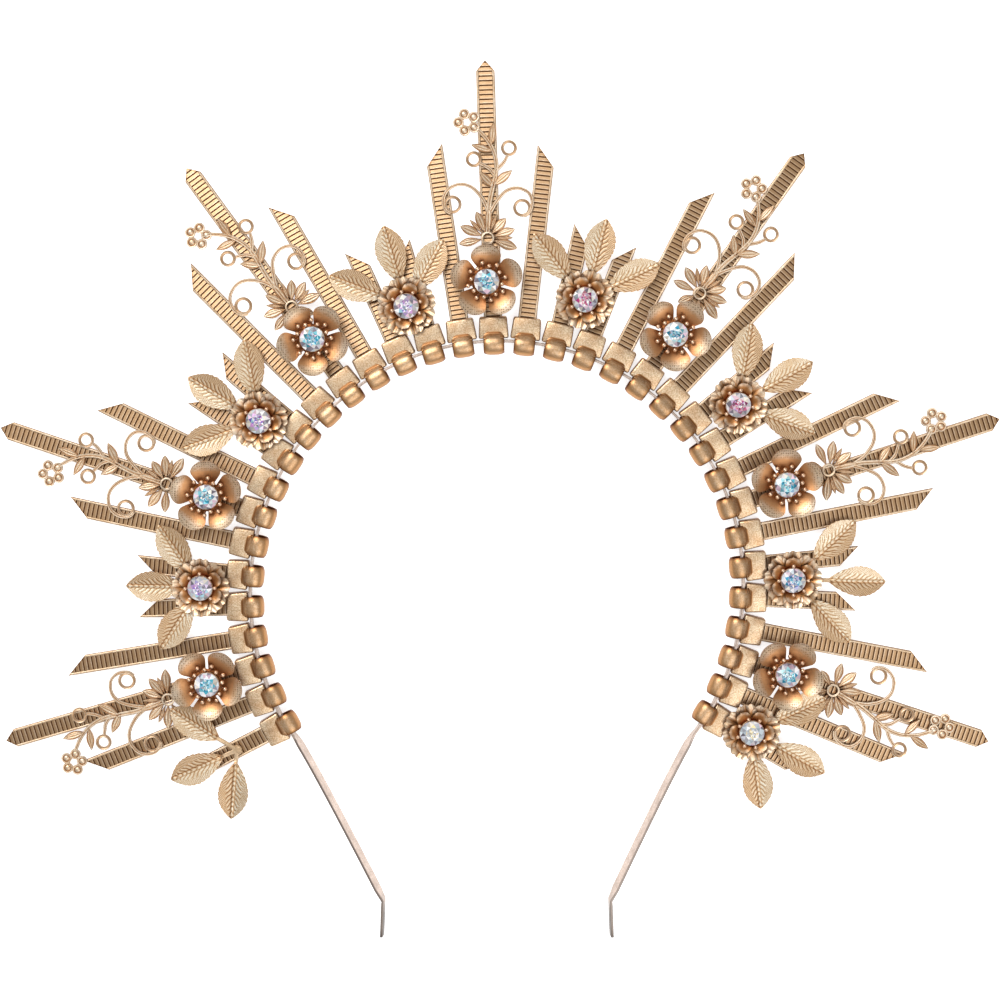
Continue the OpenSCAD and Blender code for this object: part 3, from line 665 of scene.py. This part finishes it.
def ring_of(bm, x, y, z, r, w, steps=32):
    """A wire ring with two crests, turned from its section."""
    section = [(-0.5, 0), (-0.5, 0.4), (-0.34, 0.58), (0, 0.36), (0.34, 0.58), (0.5, 0.4), (0.5, 0)]
    verts = [bm.verts.new((x + r - w / 2 + w * u, y, z + h)) for u, h in section]
    edges = [bm.edges.new(pair) for pair in zip(verts, verts[1:] + verts[:1])]
    spin_round(bm, verts + edges, (x, y, z), (0, 0, 1), steps)


def turned(bm, profile, matrix=Matrix(), steps=32):
    """A round form turned from a profile of (radius, height)."""
    verts = [bm.verts.new((r, 0, h)) for r, h in profile]
    edges = [bm.edges.new(pair) for pair in zip(verts, verts[1:])]
    before = set(bm.verts) - set(verts)
    spin_round(bm, verts + edges, (0, 0, 0), (0, 0, 1), steps)
    made = [v for v in bm.verts if v not in before]
    on_axis = [v for v in made if v.co.x ** 2 + v.co.y ** 2 < 1e-8]
    bmesh.ops.remove_doubles(bm, verts=on_axis, dist=1e-4)
    bmesh.ops.transform(bm, matrix=matrix, verts=[v for v in made if v.is_valid])


def sprig_mesh():
    """The stamping about its hub. Parts that cross lie at slightly different heights, to keep faces apart."""
    bm = bmesh.new()
    turned(bm, [(HUB_HOLE_R, -0.4), (HUB_HOLE_R, 0.3), (HUB_HOLE_R + 0.18, 0.42), (HUB_R - 0.1, 0.36),
                (HUB_R + 0.05, 0.1), (HUB_R + 0.05, -0.4), (HUB_HOLE_R, -0.4)])
    wire(bm, STEM, 1.5, 1.05, -0.35)
    for points in (LEFT_SCROLL, RIGHT_SCROLL, LEFT_TWIG, RIGHT_TWIG):
        wire(bm, points, 1.15, WIRE_W, -0.38)
    for x, y, r in RINGS:
        ring_of(bm, x, y, -0.4, r, WIRE_W)
    ring_of(bm, *FLOWER, -0.36, 1.75, 0.55, 24)
    for j in range(KNOBS):
        spot = Matrix.Translation((*FLOWER, 0)) @ clockwise(-360 / KNOBS * j - KNOB_TURN)
        spot = spot @ Matrix.Translation((0, KNOB_OUT, 0))
        turned(bm, [(0, -0.4), (KNOB_R, -0.4), (KNOB_R, 0.05), (KNOB_R - 0.15, 0.2), (KNOB_R - 0.45, 0.15),
                    (1, -0.12), (0.85, 0), (0.6, 0.22), (0.3, 0.3), (0, 0.32)], spot, 20)
    # Painted darker the lower the metal lies, in grooves and round the knobs: patina and painted shade.
    set_patina_and_shade(bm, lambda p: 0.14 + 0.8 * min(max((0.06 - p.z) / 0.3, 0), 1))
    for direction, length, w in DAISY:
        raised_leaf(bm, clockwise(direction), length, w, 0.6, HUB_HOLE_R + 0.2)
    for x, y, direction, length, w in STEM_LEAVES:
        raised_leaf(bm, Matrix.Translation((x, y, 0)) @ clockwise(direction), length, w, 0.5)
    return as_mesh("one_sprig", bm)


sprig_gold = metal("sprig_gold", "F4ECDC", "E8D6BC", "BA8E60", "74441F", 0.42, 0.000004)
one_sprig = sprig_mesh()
for k, (station, out, turn) in enumerate(SPRIGS, 1):
    bm = bmesh.new()
    add_copy(bm, one_sprig, place(station, out, turn) @ Matrix.Translation((0, 0, SPRIG_Z)))
    sprig = as_piece(f"sprig_{k}", bm, [sprig_gold])
    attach(sprig, "root")
    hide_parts(f"sprig_{k}")


# Leaf sprays. Three stamped leaves on stalks from one pad, fixed over a pair of short rays: toothed edges,
# a raised midrib and side veins, and a soft fold that leaves one half brighter than the other.
# A spray: its station, distance out, its leaves' directions and how far out each blade starts.
SPRAYS = [(-123, 93.8, (-52, 9, 66), (3.6, 4.4, 6.2)),
          (-90.8, 88.9, (-56, 2, 57), (5, 5, 5)),
          (-55.4, 86.2, (-55, -3, 46), (7.2, 7.2, 7.2)),
          (-17.9, 87.3, (-51, 2, 47), (7.2, 7.2, 5.2)),
          (17.1, 88.9, (-55, -2, 47.5), (7.2, 7.2, 7.2)),
          (53.2, 89.7, (-44, 7, 57), (7.2, 8.2, 7.2)),
          (89.3, 88.8, (-43, 2, 48), (8.4, 10.5, 8.4)),
          (120.5, 89.2, (-55, -1, 52), (7.2, 8.2, 6.4))]
PAD_R = 1.6
PAD_Z = 3.0
PAD_TOP = 3.6
STALK_W = 1.3
STALK_Z = 3.5
LEAF_L = 17.5
LEAF_W = 9.4
LEAF_T = 0.35
LEAF_Z = 4.5
LEAF_ARCH = 0.6
LEAF_CUP = 0.6
LEAF_DROP = 0.5
LEAF_SWEEP = 1.6
VEINS = 11
TEETH = 11


def vein_at(u, t):
    """How far a point of the blade is from a side vein: 0 on it, 1 halfway to the next. Veins fork."""
    a = abs(u)
    line = (t - 0.24 * a * math.sin(math.pi * t)) * VEINS + 0.12 * math.sin(11 * a + 17 * t)
    if a > 0.5:
        line = line * 2 + 0.5
    return abs(line - round(line)) * 2


def blade_half(t):
    return LEAF_W / 2 * math.sin(math.pi * t ** 0.92) ** 0.85


def leaf_shape(u, t):
    """A point of the blade, from its stalk's end, with its veins raised."""
    bow = math.sin(math.pi * t)
    tooth = 1 - 0.07 * ((t * TEETH) % 1) * min(1, abs(u) ** 4)
    half = max(blade_half(t) * tooth, 0.25)
    vein = 0.08 * (1 - vein_at(u, t)) * min(1, abs(u) * 5)
    midrib = 0.2 * math.exp(-(u * half / 0.3) ** 2)
    fold = LEAF_ARCH * bow - LEAF_CUP * (1 - abs(u)) * bow
    z = LEAF_Z - LEAF_DROP * (1 - t) ** 8 + fold + (vein + midrib) * min(1, 6 * bow)
    return (u * half, LEAF_L * t + abs(u) * LEAF_SWEEP * bow, z)


def leaf_shade(u, t):
    """Dark lines between the veins and beside the midrib, patina and painted shade, and one half painted
    browner than the other as painted shade.
    """
    between_veins = 1.1 * vein_at(u, t) ** 3.5
    beside_midrib = 0.7 * math.exp(-((abs(u) * blade_half(t) - 0.5) / 0.14) ** 2)
    return max(between_veins, beside_midrib, 0.6 - 5 * t, 0.5 * (abs(u) > 0.99)) + (0.24 if u > 0 else 0)


def spray_mesh(directions, starts):
    bm = bmesh.new()
    turned(bm, [(0, PAD_Z), (PAD_R, PAD_Z), (PAD_R, PAD_TOP - 0.15), (PAD_R - 0.15, PAD_TOP), (0, PAD_TOP)])
    for direction, start in zip(directions, starts):
        turns = [(-1.2, STALK_Z), (min(4.4, start - 0.6), STALK_Z), (start + 0.8, LEAF_Z - LEAF_DROP / 2)]
        path = spline([Vector((0, y, z)) for y, z in turns], 4)
        sweep(bm, rounded_bar(STALK_W, 0.5, 0.2), frames_along([clockwise(direction) @ p for p in path]))
    set_patina_and_shade(bm, lambda p: 0.35)
    for direction, start in zip(directions, starts):
        verts = sheet(bm, 34, 92, leaf_shape, LEAF_T, leaf_shade)
        bmesh.ops.transform(bm, matrix=clockwise(direction) @ Matrix.Translation((0, start, 0)), verts=verts)
    return as_mesh("one_spray", bm)


leaf_gold = metal("leaf_gold", "EEE8D6", "DCCCB0", "BC9870", "76492A", 0.44, 0.000004)
for k, (station, out, directions, starts) in enumerate(SPRAYS, 1):
    bm = bmesh.new()
    add_copy(bm, spray_mesh(directions, starts), place(station, out))
    spray = as_piece(f"leaf_spray_{k}", bm, [leaf_gold])
    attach(spray, "root")
    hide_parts(f"leaf_spray_{k}")


# Blossoms. Each is soldered up from five wide cupped petals with a punched dimple pattern, a cup for the
# stone, and a ring of ball stamens on short pins. Towards its heart the brass is painted brown, as patina
# and as painted shade in the cup of the petals.
# A blossom: its station and distance out.
BLOSSOMS = [(-109.2, 92.2), (-73.1, 90.6), (-36.7, 91.5), (-1.9, 90.4), (35.3, 91.6), (70.9, 91.5),
            (107.4, 91.6)]
FOOT_R = 3.4
FOOT_Z = 3.0
PETALS = 5
PETAL_Z = 5.6
PETAL_T = 0.38
PETAL_R = 4.8
PETAL_OUT = 6.7
PETAL_TILT = 17
PETAL_RISE = 1.2
PETAL_FROM = 3.3
SLOT_HALF = 0.45
STAMENS = 16
BALL_R = 0.67
# Where a pin starts, and its ball in the inner and in the outer ring: (distance out, height).
PIN_FOOT = (4.2, 6.0)
BALLS = [(4.6, 7.6), (5.6, 7.2)]
CUP_R = 3.8
CUP_SHARE = 0.86
BLOSSOM_PAD_R = 4.5
STONE_R = 3.7
STONE_IN_BLOSSOM = PETAL_Z + 0.25
PAVILION_H = 2.2


def petal_shape(u, t):
    """A point of a petal: round at its end, straight along the slots at its sides, and dished, its rim up."""
    y = PETAL_FROM + (PETAL_OUT + PETAL_R * 0.995 - PETAL_FROM) * math.sin(t * math.pi / 2) ** 0.9
    half_angle = math.pi / PETALS
    to_slot = y * math.tan(half_angle) - SLOT_HALF / math.cos(half_angle)
    to_round = math.sqrt(max(PETAL_R ** 2 - (y - PETAL_OUT) ** 2, 0)) if y > PETAL_OUT else PETAL_R
    half = max((to_slot ** -9 + max(to_round, 0.2) ** -9) ** (-1 / 9), 0.15)
    x = u * half
    share = math.hypot(x, y - PETAL_OUT) / PETAL_R
    z = PETAL_RISE * share ** 2.3
    tilt = math.radians(PETAL_TILT)
    y -= PETAL_OUT
    lift = y * math.sin(tilt) + z * math.cos(tilt)
    return (x, PETAL_OUT + y * math.cos(tilt) - z * math.sin(tilt), PETAL_Z + 0.5 + lift)


def petal_shade(u, t):
    """Deep brown at the heart, patina and painted shade, fading to gold at the rim, with a thin dark edge of
    painted shade.
    """
    out = 0.3 + 0.7 * math.sin(t * math.pi / 2) ** 0.9
    return max(1.05 - 2.4 * (out - 0.42), 0, 0.4 * (abs(u) > 0.99 or t > 0.995))


def cup_top(z):
    """The height of a cup's rim, for a stone whose point is at z."""
    return z + PAVILION_H * CUP_SHARE


def stone_cup(bm, z, pad_r, pad_z):
    """A round pad and the cup that holds the stone's point."""
    top = cup_top(z)
    turned(bm, [(0, pad_z), (pad_r, pad_z), (pad_r, pad_z + 0.35), (CUP_R + 0.1, pad_z + 0.6),
                (CUP_R, top - 0.1), (CUP_R - 0.1, top), (CUP_R - 0.6, top - 0.1), (0.5, z - 0.1),
                (0, z - 0.1)], steps=40)


def ball_on_pin(bm, direction, near, far, r):
    """A pin from the cup to a small ball. near and far are (distance out, height)."""
    foot, ball = [clockwise(direction) @ Vector((0, *spot)) for spot in (near, far)]
    bmesh.ops.create_icosphere(bm, subdivisions=2, radius=r, matrix=Matrix.Translation(ball))
    pin = ball - foot
    leaning = pin.to_track_quat("Z", "Y").to_matrix().to_4x4()
    bmesh.ops.create_cone(bm, cap_ends=True, segments=8, radius1=0.32, radius2=0.26, depth=pin.length,
                          matrix=Matrix.Translation((foot + ball) / 2) @ leaning)


# Directions spread over the sky above the piece.
SKY_RAYS = 16
SKY = []
for j in range(SKY_RAYS):
    down, around = math.acos(1 - 0.72 * (j + 0.5) / SKY_RAYS), j * 2.4
    SKY.append(Vector((math.sin(down) * math.cos(around), math.sin(down) * math.sin(around), math.cos(down))))


def add_occlusion_shade(bm, verts, reach, strength):
    """Paints shade, as occlusion, where the piece's own relief hides a point from the front."""
    bmesh.ops.recalc_face_normals(bm, faces=bm.faces)
    bm.normal_update()
    tree = BVHTree.FromBMesh(bm)
    layer = bm.verts.layers.float["patina_and_shade"]
    for v in verts:
        start = v.co + v.normal * 0.04
        hidden = sum(tree.ray_cast(start, ray, reach)[0] is not None for ray in SKY) / len(SKY)
        v[layer] = min(v[layer] + strength * hidden, 1)


def add_balls(bm, places):
    """Adds balls on pins, of their own metal, to a finished mesh. places holds ball_on_pin's values."""
    verts, faces = len(bm.verts), len(bm.faces)
    for values in places:
        ball_on_pin(bm, *values)
    bm.verts.ensure_lookup_table()
    bm.faces.ensure_lookup_table()
    set_patina_and_shade(bm, lambda p: 0.1, bm.verts[verts:])
    # Painted shade from occlusion on the rest of the piece.
    add_occlusion_shade(bm, bm.verts[:verts], reach=3, strength=0.3)
    for f in bm.faces[faces:]:
        f.material_index = 1


def blossom_mesh():
    bm = bmesh.new()
    turned(bm, [(0, FOOT_Z), (FOOT_R, FOOT_Z), (FOOT_R, PETAL_Z), (0, PETAL_Z)])
    stone_cup(bm, STONE_IN_BLOSSOM, BLOSSOM_PAD_R, PETAL_Z)
    # Foot and cup painted dark below the cup's rim: painted shade under the petals and the stone.
    set_patina_and_shade(bm, lambda p: 0.9 if p.z < cup_top(STONE_IN_BLOSSOM) - 0.3 else 0.3)
    for j in range(PETALS):
        verts = sheet(bm, 22, 22, petal_shape, PETAL_T, petal_shade)
        bmesh.ops.transform(bm, matrix=clockwise(-360 / PETALS * j), verts=verts)
    add_balls(bm, [(360 / STAMENS * (j + 0.5), PIN_FOOT, BALLS[j % 2], BALL_R) for j in range(STAMENS)])
    return as_mesh("one_blossom", bm)


petal_gold = metal("petal_gold", "FFF2DC", "F6E0BE", "BE8C60", "764624", 0.42, 0.000004, dots=0.00003)
ball_gold = metal("ball_gold", "F2DAC2", "E4C0A2", "B98258", "7A4A2E", 0.28, 0.000002)
one_blossom = blossom_mesh()
for k, (station, out) in enumerate(BLOSSOMS, 1):
    bm = bmesh.new()
    add_copy(bm, one_blossom, place(station, out))
    blossom = as_piece(f"blossom_{k}", bm, [petal_gold, ball_gold])
    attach(blossom, "root")
    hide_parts(f"blossom_{k}")


# Rosettes. Each is soldered up from two layers of petals round a stone's cup, eight broad and creased ones
# below and six rounded and cupped ones above, and from eight small claws that end in balls. They sit on the
# sprays, all but the first.
ROSETTE_Z = 3.75
ROSETTE_PAD_R = 4.4
STONE_IN_ROSETTE = 4.75
LOWER_PETALS = 8
UPPER_PETALS = 6
ROSETTE_PETAL_T = 0.3
CLAWS = 8
# Where a claw starts and where its ball is: (distance out, height).
CLAW_FOOT = (3.5, 5.2)
CLAW_BALL = (4.4, 7.3)
CLAW_BALL_R = 0.58
ROUNDS_FROM = 0.75


def lower_petal(u, t):
    """A broad petal with three lobes, creased down its middle and ruffled at its edge."""
    lobes = 0.45 * t * abs(math.cos(1.5 * math.pi * u))
    out = 2.8 + 5.6 * t + lobes - 1.1 * t * abs(u) ** 3
    half = 1.1 + 2.1 * math.sin(min(t * 1.35, 1) * math.pi / 2) - 0.5 * max(t - 0.75, 0)
    crease = 0.4 * math.exp(-(u / 0.16) ** 2) * min(1, 2 * t)
    side_creases = 0.1 * math.exp(-((abs(u) - 0.6) / 0.12) ** 2) * t
    ruffle = 0.05 * math.sin(u * 15) * t ** 1.5
    return (u * half, out, 4.55 + 1.35 * t ** 1.4 - crease - side_creases + ruffle)


def lower_shade(u, t):
    # Darker towards the heart and in the creases, patina and painted shade, with a thin dark edge of painted
    # shade.
    inside = 0.5 * (1 - abs(u) ** 2) * (1 - t ** 3)
    creases = 0.65 * math.exp(-(u / 0.1) ** 2) + 0.4 * math.exp(-((abs(u) - 0.5) / 0.08) ** 2)
    return max(1.15 - 1.9 * t, inside, creases * min(1, 1.8 - 1.4 * t), 0.4 * (abs(u) > 0.99 or t > 0.995))


def upper_petal(u, t):
    """A rounded petal with a small point, cupped along its length."""
    half = 0.9 + 1.4 * math.sin(math.pi * (0.25 + 0.68 * min(t, ROUNDS_FROM))) ** 0.7
    if t > ROUNDS_FROM:
        half *= math.sqrt(max(1 - ((t - ROUNDS_FROM) / (1 - ROUNDS_FROM)) ** 2, 0.004))
    fold = 0.75 * abs(u) ** 1.8 * math.sin(math.pi * min(t + 0.15, 0.9))
    point = 0.35 * max(0, t - 0.8) / 0.2 * (1 - abs(u)) ** 2
    return (u * half, 2.7 + 4.15 * t + point, 5.0 + 1.4 * t ** 1.6 + fold)


def upper_shade(u, t):
    # Brown inside the cup and down the crease, patina and painted shade, with a thin dark edge of painted
    # shade.
    inside = 0.6 * (1 - abs(u) ** 2.5) * (1 - t ** 4)
    crease = 0.5 * math.exp(-(u / 0.1) ** 2) * (1 - t)
    return max(1.2 - 1.4 * t, inside, crease, 0.35 * (abs(u) > 0.99 or t > 0.995))


def rosette_mesh():
    bm = bmesh.new()
    stone_cup(bm, STONE_IN_ROSETTE, ROSETTE_PAD_R, ROSETTE_Z)
    # Cup painted dark below its rim: painted shade under the petals and the stone.
    set_patina_and_shade(bm, lambda p: 0.9 if p.z < cup_top(STONE_IN_ROSETTE) - 0.3 else 0.2)
    for count, shift, petal, shade, nx in ((LOWER_PETALS, 0, lower_petal, lower_shade, 24),
                                           (UPPER_PETALS, 0.5, upper_petal, upper_shade, 18)):
        for j in range(count):
            verts = sheet(bm, nx, 18, petal, ROSETTE_PETAL_T, shade)
            bmesh.ops.transform(bm, matrix=clockwise(-360 / count * (j + shift)), verts=verts)
    add_balls(bm, [(360 / CLAWS * j, CLAW_FOOT, CLAW_BALL, CLAW_BALL_R) for j in range(CLAWS)])
    return as_mesh("one_rosette", bm)


rosette_gold = metal("rosette_gold", "FFF4E0", "F6E2C2", "B07C4C", "663214", 0.44, 0.000006)
one_rosette = rosette_mesh()
for k, (station, out, *_) in enumerate(SPRAYS[1:], 1):
    bm = bmesh.new()
    add_copy(bm, one_rosette, place(station, out))
    rosette = as_piece(f"rosette_{k}", bm, [rosette_gold, ball_gold])
    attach(rosette, "root")
    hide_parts(f"rosette_{k}")


# Stones. Fourteen round crystals cut as brilliants, foil-backed, with a coating that throws blue, pink,
# violet and yellow. Each sits point down in its cup, and its table faces front. Each facet is painted
# with the coating's colours and a random brightness, as painted reflections.
GIRDLE_H = 0.3
CROWN_H = 1.1
TABLE_R = 2.07
TABLE_RIM = 0.95
# The coating's colours and painted reflections: pale and grey ones for the rim, a heart's for the middle.
RIM_TINTS_AND_GLINTS = ["F6F1F4", "C9CBD6", "FFFFFF", "E6C6D6", "8F8794", "D9E6EE", "F3E9DA"]
BLUE_HEART = ["4FB0C6", "86CFDC", "A9E0E6", "2F8FB0", "E8F4F6", "8FB6D8"]
VIOLET_HEART = ["B79AD0", "E3D3EE", "7C6ABC", "9CC7D6", "F4EAF4", "C58FC8"]
RED_HEART = ["D98C9C", "B84A74", "F0C9CF", "A03470", "FBEDEE", "C9A6D0"]
SKY_HEART = ["3F95B8", "9CCFE0", "5E7FC0", "D8EEF4", "2C6F9C", "B7B4DC"]
STRAW_HEART = ["F3DFA6", "FFF4D2", "DDE8F0", "B9C4CC", "F7F7F7", "E0C79A"]
# How far out a heart reaches, and how many of its facets have its own tints.
HEART_SHARE = 0.68
HEART_CHANCE = 0.75


def facet_order(f):
    """Facets from the lowest up, and round the stone."""
    middle = f.calc_center_median()
    return (round(middle.z, 3), math.atan2(*middle.xy))


def stone_mesh(seed, heart):
    """A brilliant: the hull of its table, crown points, girdle, lower girdle and point. The table is cut into
    facets that carry painted reflections of the pavilion under it. Each facet keeps its tint and painted
    glint."""
    bm = bmesh.new()
    girdle = PAVILION_H
    shoulder = girdle + GIRDLE_H
    top = shoulder + CROWN_H
    # A ring of corners: its radius, height, corners and shift in corners.
    rings = [(TABLE_R, top, 8, 0),
             (0.78 * STONE_R, shoulder + 0.62 * CROWN_H, 8, 0.5),
             (STONE_R, shoulder, 16, 0),
             (STONE_R, girdle, 16, 0),
             (0.55 * STONE_R, 0.46 * girdle, 8, 0.5)]
    for r, z, n, shift in rings:
        seat = Matrix.Translation((0, 0, z)) @ clockwise(-360 / n * shift)
        bmesh.ops.create_circle(bm, segments=n, radius=r, matrix=seat)
    bm.verts.new((0, 0, 0))
    bmesh.ops.convex_hull(bm, input=bm.verts[:])
    bmesh.ops.dissolve_limit(bm, angle_limit=math.radians(1), verts=bm.verts[:], edges=bm.edges[:])
    bmesh.ops.recalc_face_normals(bm, faces=bm.faces)
    table = [f for f in bm.faces if f.normal.z > 0.99]
    ring = bmesh.ops.inset_region(bm, faces=table, thickness=TABLE_RIM)["faces"]
    bmesh.ops.poke(bm, faces=bmesh.ops.poke(bm, faces=table)["faces"])
    bmesh.ops.poke(bm, faces=ring)
    draw = random.Random(seed)
    tint_and_glint = bm.loops.layers.float_color.new("facet")
    for f in sorted(bm.faces, key=facet_order):
        middle = f.calc_center_median()
        inner = middle.z > top - 0.01 or math.hypot(middle.x, middle.y) < HEART_SHARE * STONE_R
        code = draw.choice(heart if inner and draw.random() < HEART_CHANCE else RIM_TINTS_AND_GLINTS)
        # A random brightness for each upper facet: painted reflection.
        shade = draw.uniform(0.35, 1.05) if f.normal.z > 0 else 0.8
        colour = [min(c * shade, 1) for c in srgb(code)[:3]] + [1]
        for corner in f.loops:
            corner[tint_and_glint] = colour
    return bm


def crystal():
    finish = bpy.data.materials.new("aurora_crystal")
    finish.use_nodes = True
    nodes, links = finish.node_tree.nodes, finish.node_tree.links
    shader = nodes["Principled BSDF"]
    facet = nodes.new("ShaderNodeAttribute")
    facet.attribute_name = "facet"
    links.new(facet.outputs["Color"], shader.inputs["Base Color"])
    shader.inputs["Metallic"].default_value = 0
    shader.inputs["Roughness"].default_value = 0.12
    return finish


aurora_crystal = crystal()
rosette_hearts = [VIOLET_HEART] * 3 + [RED_HEART] * 2 + [SKY_HEART, STRAW_HEART]
seats = [(f"blossom_stone_{k}", place(*spot), STONE_IN_BLOSSOM, BLUE_HEART)
         for k, spot in enumerate(BLOSSOMS, 1)]
seats += [(f"rosette_stone_{k}", place(*spray[:2]), STONE_IN_ROSETTE, heart)
          for k, (spray, heart) in enumerate(zip(SPRAYS[1:], rosette_hearts), 1)]
for seed, (name, seat, z, heart) in enumerate(seats):
    bm = stone_mesh(seed, heart)
    bmesh.ops.transform(bm, matrix=seat @ Matrix.Translation((0, 0, z)), verts=bm.verts)
    stone = as_piece(name, bm, [aurora_crystal], sharp=1)
    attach(stone, "root")
    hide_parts(name)


# The setting for the picture: a plain white floor that the crown lies on, soft light from above, and a
# camera that looks down on it, six degrees off the vertical, from over its upper half.
FLOOR_HALF = 3.0
LOOKS_AT = Vector((0.00096, 0.0249, 0.0025))
CAMERA_AWAY = 0.8
CAMERA_TILT = 6
FIELD = 0.3
SENSOR = 36.0
# A light: its name, place, size and power.
LIGHTS = [("key", (-0.4, 0.65, 0.85), 0.7, 10),
          ("fill", (0.4, -0.5, 0.9), 0.9, 5),
          ("top", (0, -0.1, 1.3), 0.8, 0.5)]
LIGHTS_AT = Vector((0, 0.02, 0))

bpy.ops.mesh.primitive_plane_add(size=2 * FLOOR_HALF, location=(0, 0, 0))
floor = bpy.context.object
floor.name = "floor"
paper = bpy.data.materials.new("white_paper")
paper.use_nodes = True
paper_shader = paper.node_tree.nodes["Principled BSDF"]
paper_shader.inputs["Base Color"].default_value = (0.92, 0.92, 0.92, 1)
paper_shader.inputs["Roughness"].default_value = 0.9
paper_shader.inputs["Emission Color"].default_value = (1, 1, 1, 1)
paper_shader.inputs["Emission Strength"].default_value = 0.75
floor.data.materials.append(paper)

for name, spot, size, power in LIGHTS:
    light = bpy.data.lights.new(name, "AREA")
    light.size = size
    light.energy = power
    lamp = bpy.data.objects.new(name, light)
    lamp.location = spot
    lamp.rotation_euler = (LIGHTS_AT - Vector(spot)).to_track_quat("-Z", "Y").to_euler()
    scene.collection.objects.link(lamp)

world = bpy.data.worlds.new("studio")
world.use_nodes = True
world.node_tree.nodes["Background"].inputs["Color"].default_value = (1, 1, 1, 1)
world.node_tree.nodes["Background"].inputs["Strength"].default_value = 0.45
scene.world = world
scene.view_settings.view_transform = "Standard"

lens = bpy.data.cameras.new("camera")
lens.sensor_width = SENSOR
lens.lens = SENSOR * CAMERA_AWAY / FIELD
camera = bpy.data.objects.new("camera", lens)
tilt = math.radians(CAMERA_TILT)
camera.location = LOOKS_AT + CAMERA_AWAY * Vector((0, math.sin(tilt), math.cos(tilt)))
camera.rotation_euler = (-tilt, 0, 0)
scene.collection.objects.link(camera)
scene.camera = camera
